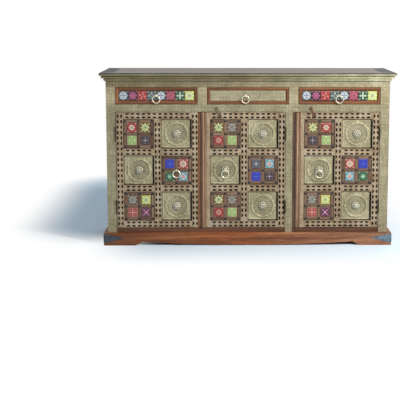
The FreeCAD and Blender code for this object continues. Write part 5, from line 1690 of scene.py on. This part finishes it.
# %% Tile colours
WHITE, BLACK = (240, 242, 240), (30, 28, 32)
GLAZE_TABLE = (
    ("red_flower", flower, {}, (178, 46, 46), (146, 30, 36), (236, 224, 198), (128, 120, 120)),
    ("pink_flower", flower, {"reach": 0.34},
     (184, 74, 72), (160, 52, 56), (234, 214, 190), (120, 128, 132), (196, 110, 100)),
    ("lime_flower", flower, {"reach": 0.38},
     (120, 108, 52), (92, 84, 44), (232, 232, 170), (36, 112, 112), (136, 150, 70)),
    ("green_flower", flower, {"reach": 0.22}, (44, 104, 66), (28, 74, 50), (164, 222, 182), (234, 240, 214)),
    ("dark_star", star, {"reach": 0.25}, (36, 84, 48), (20, 50, 28), (200, 226, 200), WHITE),
    ("yellow_flower", flower, {"reach": 0.36},
     (206, 212, 104), (176, 186, 78), (240, 240, 186), (98, 132, 56), (140, 168, 70)),
    ("sun_flower", flower, {"reach": 0.40},
     (214, 222, 84), (190, 200, 64), (246, 248, 214), (132, 156, 60), (160, 178, 70)),
    ("green_square", four_square, {}, (160, 192, 104), (140, 174, 86), (232, 236, 200), (104, 136, 66)),
    ("red_square", four_square, {}, (178, 58, 58), (150, 36, 44), (236, 176, 158), (236, 196, 160)),
    ("purple_star", star, {"reach": 0.24}, (52, 40, 46), (34, 26, 32), (118, 100, 118), (206, 200, 212)),
    ("magenta_star", star, {"reach": 0.27, "lean": math.pi},
     (84, 42, 64), (48, 28, 42), (190, 98, 150), (238, 214, 226)),
    ("plum_flower", flower, {"reach": 0.36},
     (38, 18, 28), (24, 12, 20), (204, 96, 142), (150, 104, 168), (118, 44, 88)),
    ("slate_star", star, {"reach": 0.22}, (82, 86, 98), (58, 60, 72), (142, 146, 156), WHITE),
    ("teal_star", star, {"reach": 0.26}, (84, 106, 104), (56, 74, 74), (170, 186, 180), BLACK),
    ("grey_trellis", trellis, {}, (92, 86, 78), (62, 58, 54), (196, 190, 178), BLACK),
    ("crimson_trellis", trellis, {}, (148, 28, 62), (114, 18, 46), (220, 124, 146), (100, 14, 40)),
    ("crimson_flower", flower, {"reach": 0.26}, (170, 40, 48), (132, 24, 34), (232, 168, 146), (150, 26, 40)),
    ("red_swirl", star, {"reach": 0.27, "lean": 1.1},
     (188, 44, 52), (132, 24, 34), (226, 124, 116), (110, 18, 28)),
    ("cobalt", four_square, {}, (20, 46, 188), (18, 38, 164), (42, 72, 214), (88, 120, 234)),
    ("teal_lozenge", lozenge, {}, (92, 158, 178), (64, 124, 150), WHITE, (196, 56, 48)),
    ("blue_rosette", rosette, {}, (76, 88, 82), (58, 66, 64), (226, 232, 240), (84, 108, 152), (28, 36, 52)),
)
glaze_names = [row[0] for row in GLAZE_TABLE]
glazes = [pattern("tile_" + name, *(paint(*colour) for colour in colours), **sizes)
          for name, pattern, sizes, *colours in GLAZE_TABLE]
print("glazes:", len(glazes))

# %% [markdown]
# A tile's face is slightly pillowed and rolls over at its edges, because the clay shrank and the glaze
# drew back before firing. A subdivided cube would need sculpting for that. A small grid with two
# formulas, one for the crown and one for the rolled edge, is enough.

# %% One tile
TILE_ROLL, TILE_CROWN = 0.0012, 0.0003
ROLL_FROM, ROLL_WIDE = 0.40, 0.10
TILE_STEPS = (-0.5, -0.46, -0.36, -0.12, 0.12, 0.36, 0.46, 0.5)


def tile(bench, centre, wide, tall, face, back, finish):
    def spot(u, v):
        edge = max(abs(u), abs(v))
        rolled = TILE_ROLL * max(0.0, (edge - ROLL_FROM) / ROLL_WIDE) ** 2
        crown = TILE_CROWN * (1 - 4 * u * u) * (1 - 4 * v * v)
        return Vector((centre[0] + u * wide, face + rolled - crown, centre[1] + v * tall))

    for u0, u1 in zip(TILE_STEPS, TILE_STEPS[1:]):
        for v0, v1 in zip(TILE_STEPS, TILE_STEPS[1:]):
            loop = [(u0, v0), (u1, v0), (u1, v1), (u0, v1)]
            grain = [(u + 0.5, v + 0.5) for u, v in loop]
            bench.face([spot(*p) for p in loop], grain, finish, outward=(0, -1, 0))
    rim = [(-0.5, -0.5), (0.5, -0.5), (0.5, 0.5), (-0.5, 0.5)]
    for (u0, v0), (u1, v1) in zip(rim, rim[1:] + rim[:1]):
        near, far = spot(u0, v0), spot(u1, v1)
        loop = [near, far, Vector((far.x, back, far.z)), Vector((near.x, back, near.z))]
        edge = [(u0 + 0.5, v0 + 0.5), (u1 + 0.5, v1 + 0.5)]
        bench.face(loop, edge + edge[::-1], finish, outward=((u0 + u1), 0, (v0 + v1)))


print("faces of one tile:", (len(TILE_STEPS) - 1) ** 2 + 4)

# %% [markdown]
# Four tiles sit in each tiled opening of a door. They are listed from the top opening down, and left to
# right in two rows, as on the real doors. Their sizes are shares of the opening, so that they follow the
# measured frame.

# %% Tiles of the doors
TILE_FACE = 0.003
TILE_SHARE, PITCH_SHARE = (0.2983, 0.3137), (0.4350, 0.4314)
DOOR_TILES = {
    "door_left": (("red_flower", "lime_flower", "green_square", "purple_star"),
                  ("cobalt", "pink_flower", "green_flower", "teal_lozenge"),
                  ("grey_trellis", "yellow_flower", "red_square", "magenta_star")),
    "door_middle": (("lime_flower", "grey_trellis", "crimson_flower", "green_square"),
                    ("slate_star", "teal_lozenge", "cobalt", "purple_star"),
                    ("lime_flower", "grey_trellis", "crimson_flower", "green_square")),
    "door_right": (("lime_flower", "red_flower", "purple_star", "green_square"),
                   ("pink_flower", "cobalt", "teal_lozenge", "green_flower"),
                   ("grey_trellis", "yellow_flower", "red_square", "magenta_star")),
}


def tile_panels(door):
    """Centres of the tiled panels from the top down."""
    wide, tall = door.panel
    spots = [(z + tall / 2, x + wide / 2) for x, z, tiled in door.panels() if tiled]
    return [(x, z) for z, x in sorted(spots, reverse=True)]


def door_tiles(door):
    bench = Bench()
    wide, tall = (side * share for side, share in zip(door.panel, TILE_SHARE))
    across, up = (side * share / 2 for side, share in zip(door.panel, PITCH_SHARE))
    for (x, z), names in zip(tile_panels(door), DOOR_TILES[door.body]):
        for name, (sx, sz) in zip(names, ((-1, 1), (1, 1), (-1, -1), (1, -1))):
            spot = (x + sx * across, z + sz * up)
            tile(bench, spot, wide, tall, FRONT + TILE_FACE, FRONT + BRASS_SHEET, glaze_names.index(name))
    name, node = door.body + "_glazed_tiles", door.body + "_tiles"
    return make_piece(bench, name, door.body, glazes, [node])


print("door tiles:", [door_tiles(door).name for door in DOORS])

# %% [markdown]
# The left and the right drawer carry one row of eight tiles each, with a thin joint between them. The
# middle drawer has plain stamped brass instead.

# %% Tiles of the drawers
DRAWER_ROW = ("blue_rosette", "plum_flower", "red_swirl", "teal_star",
              "blue_rosette", "crimson_trellis", "dark_star", "sun_flower")
TILE_JOINT = 0.001


def drawer_tiles(body):
    low, high = corners(body + "_tiles")
    bench = Bench()
    pitch = (high.x - low.x + TILE_JOINT) / len(DRAWER_ROW)
    for i, name in enumerate(DRAWER_ROW):
        centre = (low.x + (i + 0.5) * pitch - TILE_JOINT / 2, (low.z + high.z) / 2)
        tile(bench, centre, pitch - TILE_JOINT, high.z - low.z, low.y, high.y, glaze_names.index(name))
    return make_piece(bench, body + "_glazed_tiles", body, glazes, [body + "_tiles"])


print("drawer tiles:", [drawer_tiles(body).name for body in ("drawer_left", "drawer_right")])

# %% [markdown]
# Low battens frame every tile, three across and three upright on each board. The upright ones run
# through and the others are cut between them, which is how a joiner would fit them. They are paler than
# the board under them, because hands and dusters rub them.

# %% Battens round the tiles
BATTEN, BATTEN_FACE, BATTEN_SINK = 0.0125, 0.0028, 0.001
UPRIGHT_EDGE, ACROSS_EDGE = 0.0016, 0.0014
RUBBED = (paint(56, 38, 28), paint(114, 90, 70), paint(166, 140, 114))
rubbed_wood = wood_finish("rubbed_battens", *RUBBED, gloss=0.5)


def battens(door):
    bench = Bench()
    across, up = (side * share for side, share in zip(door.panel, PITCH_SHARE))
    half_wide, half_tall = (side / 2 for side in door.panel)
    y0, y1, b = FRONT + BATTEN_FACE, FRONT + TILE_BOARD + BATTEN_SINK, BATTEN / 2
    lengths = ((-half_wide, -across - b), (-across + b, -b), (b, across - b), (across + b, half_wide))
    for x, z in tile_panels(door):
        for i in (-1, 0, 1):
            u, v = x + i * across, z + i * up
            board(bench, (u - b, y0, z - half_tall), (u + b, y1, z + half_tall), 2, UPRIGHT_EDGE)
            for left, right in lengths:
                board(bench, (x + left, y0, v - b), (x + right, y1, v + b), 0, ACROSS_EDGE)
    return make_piece(bench, door.body + "_battens", door.body, [rubbed_wood])


print("battens:", [battens(door).name for door in DOORS])

# %% [markdown]
# A broad iron nail head sits on each crossing of the battens. On the left door the pull's plate takes
# the place of one head, so a place behind the eye of a ring is left out.

# %% Iron heads
HEAD, HEAD_LIFT = 0.0070, 0.0024


def tile_heads(door):
    bench = Bench()
    across, up = (side * share for side, share in zip(door.panel, PITCH_SHARE))
    eye_low, eye_high = corners(door.body + "_ring_eye")
    for x, z in tile_panels(door):
        for i in (-1, 0, 1):
            for k in (-1, 0, 1):
                spot = Vector((x + i * across, FRONT + BATTEN_FACE, z + k * up))
                behind_eye = eye_low.x < spot.x < eye_high.x and eye_low.z < spot.z < eye_high.z
                if not behind_eye:
                    dome(bench, spot, (0, -1, 0), HEAD, HEAD_LIFT)
    return make_piece(bench, door.body + "_iron_heads", door.body, [black_iron])


print("iron heads:", [tile_heads(door).name for door in DOORS])

# %% [markdown]
# Hands keep the pulls bright, so theirs is the one metal here that is smooth and light. It is nearly all
# metal, with a few darker clouds and very fine scratches that change the gloss more than the colour.

# %% Bright brass
def bright_finish(name):
    brass = Recipe(name, Metallic=0.85, Specular_IOR_Level=0.5)
    place = brass.place()
    cloud = brass.noise(place, 90.0, 4.0, 0.6)
    scratch = brass.noise(place, 900.0, 2.0)
    dark, middle, light = paint(140, 130, 100), paint(228, 222, 198), paint(246, 243, 228)
    colour = brass.ramp(cloud, (0.30, dark), (0.48, middle), (0.68, light))
    brass.set(Base_Color=colour, Roughness=brass.range(scratch, 0.3, 0.7, 0.20, 0.36))
    brass.relief((scratch, 0.0001), (cloud, 0.0004))
    return brass.material


bright_brass = bright_finish("handled_brass")
print("bright brass:", bright_brass.name)

# %% [markdown]
# Six pulls are plain rings of thick brass wire that hang in an eye. A torus would have the same wire all
# round. Here a circle is swept along a circle, with the wire a little thinner at the top, where it wears
# in the eye.

# %% Rings
WIRE, WEAR = 0.0026, 0.0002
RING_STEPS, WIRE_STEPS = 48, 14
EYE_EDGE = 0.0003


def pull_ring(body):
    low, high = corners(body)
    centre, radius = (low + high) / 2, (high.x - low.x) / 2 - WIRE
    bench = Bench()

    def spot(i, k):
        a, b = 2 * math.pi * i / RING_STEPS, 2 * math.pi * k / WIRE_STEPS
        wire = WIRE - WEAR * max(0.0, math.sin(a)) ** 4
        reach = radius + wire * math.cos(b)
        return centre + Vector((reach * math.cos(a), wire * math.sin(b), reach * math.sin(a)))

    for i in range(RING_STEPS):
        for k in range(WIRE_STEPS):
            loop = [spot(i, k), spot(i + 1, k), spot(i + 1, k + 1), spot(i, k + 1)]
            a = 2 * math.pi * (i + 0.5) / RING_STEPS
            core = centre + Vector((radius * math.cos(a), 0, radius * math.sin(a)))
            bench.face(loop, outward=sum(loop, Vector()) / 4 - core)
    return make_piece(bench, body + "_wire", body, [bright_brass], [body])


RINGS = [f"{kind}_{side}_ring" for kind in ("door", "drawer") for side in ("left", "middle", "right")]
for body in RINGS:
    pull_ring(body)
    dress(body + "_eye", bright_brass, EYE_EDGE)
print("rings:", RINGS)

# %% [markdown]
# Hinges, hasps, staples and the pointed straps on the plinth keep the frame's shapes. Each gets its own
# iron: the hinges nearly black, the staples and the middle hasp worn bright, the right hasp brown with
# rust and the straps blue-grey. Four flat-headed nails fix each face of a strap.

# %% Iron fittings
FITTINGS = {"hinge_leaves": hinge_iron, "latch_staples": worn_iron, "door_left_ironwork": hinge_iron,
            "door_middle_ironwork": hinge_iron, "door_right_ironwork": hinge_iron,
            "door_middle_hasp": worn_iron, "door_right_hasp": rusty_iron, "corner_straps": strap_iron}
IRON_EDGE = 0.0004
for node, finish in FITTINGS.items():
    dress(node, finish, IRON_EDGE)

strap_low, strap_high = corners("corner_straps")
STRAP_NAILS = ((0.010, 0.22), (0.010, 0.78), (0.034, 0.5), (0.070, 0.5))
STRAP_THICK, FLAT_HEAD, FLAT_LIFT = 0.001, 0.0032, 0.0008
strap_bench = Bench()
for along, share in STRAP_NAILS:
    z = strap_low.z + (strap_high.z - strap_low.z) * share
    for sign, edge in ((1, strap_low.x), (-1, strap_high.x)):
        front = (edge + sign * (along + STRAP_THICK), strap_low.y + FLAT_LIFT, z)
        side = (edge + sign * FLAT_LIFT, strap_low.y + along + STRAP_THICK, z)
        for spot, looks in ((front, (0, -1, 0)), (side, (-sign, 0, 0))):
            dome(strap_bench, spot, looks, FLAT_HEAD, FLAT_LIFT, 2, 9)
straps = make_piece(strap_bench, "strap_nails", "carcass", [black_iron])
print("fittings dressed:", len(FITTINGS), "strap nail faces:", len(straps.data.polygons))
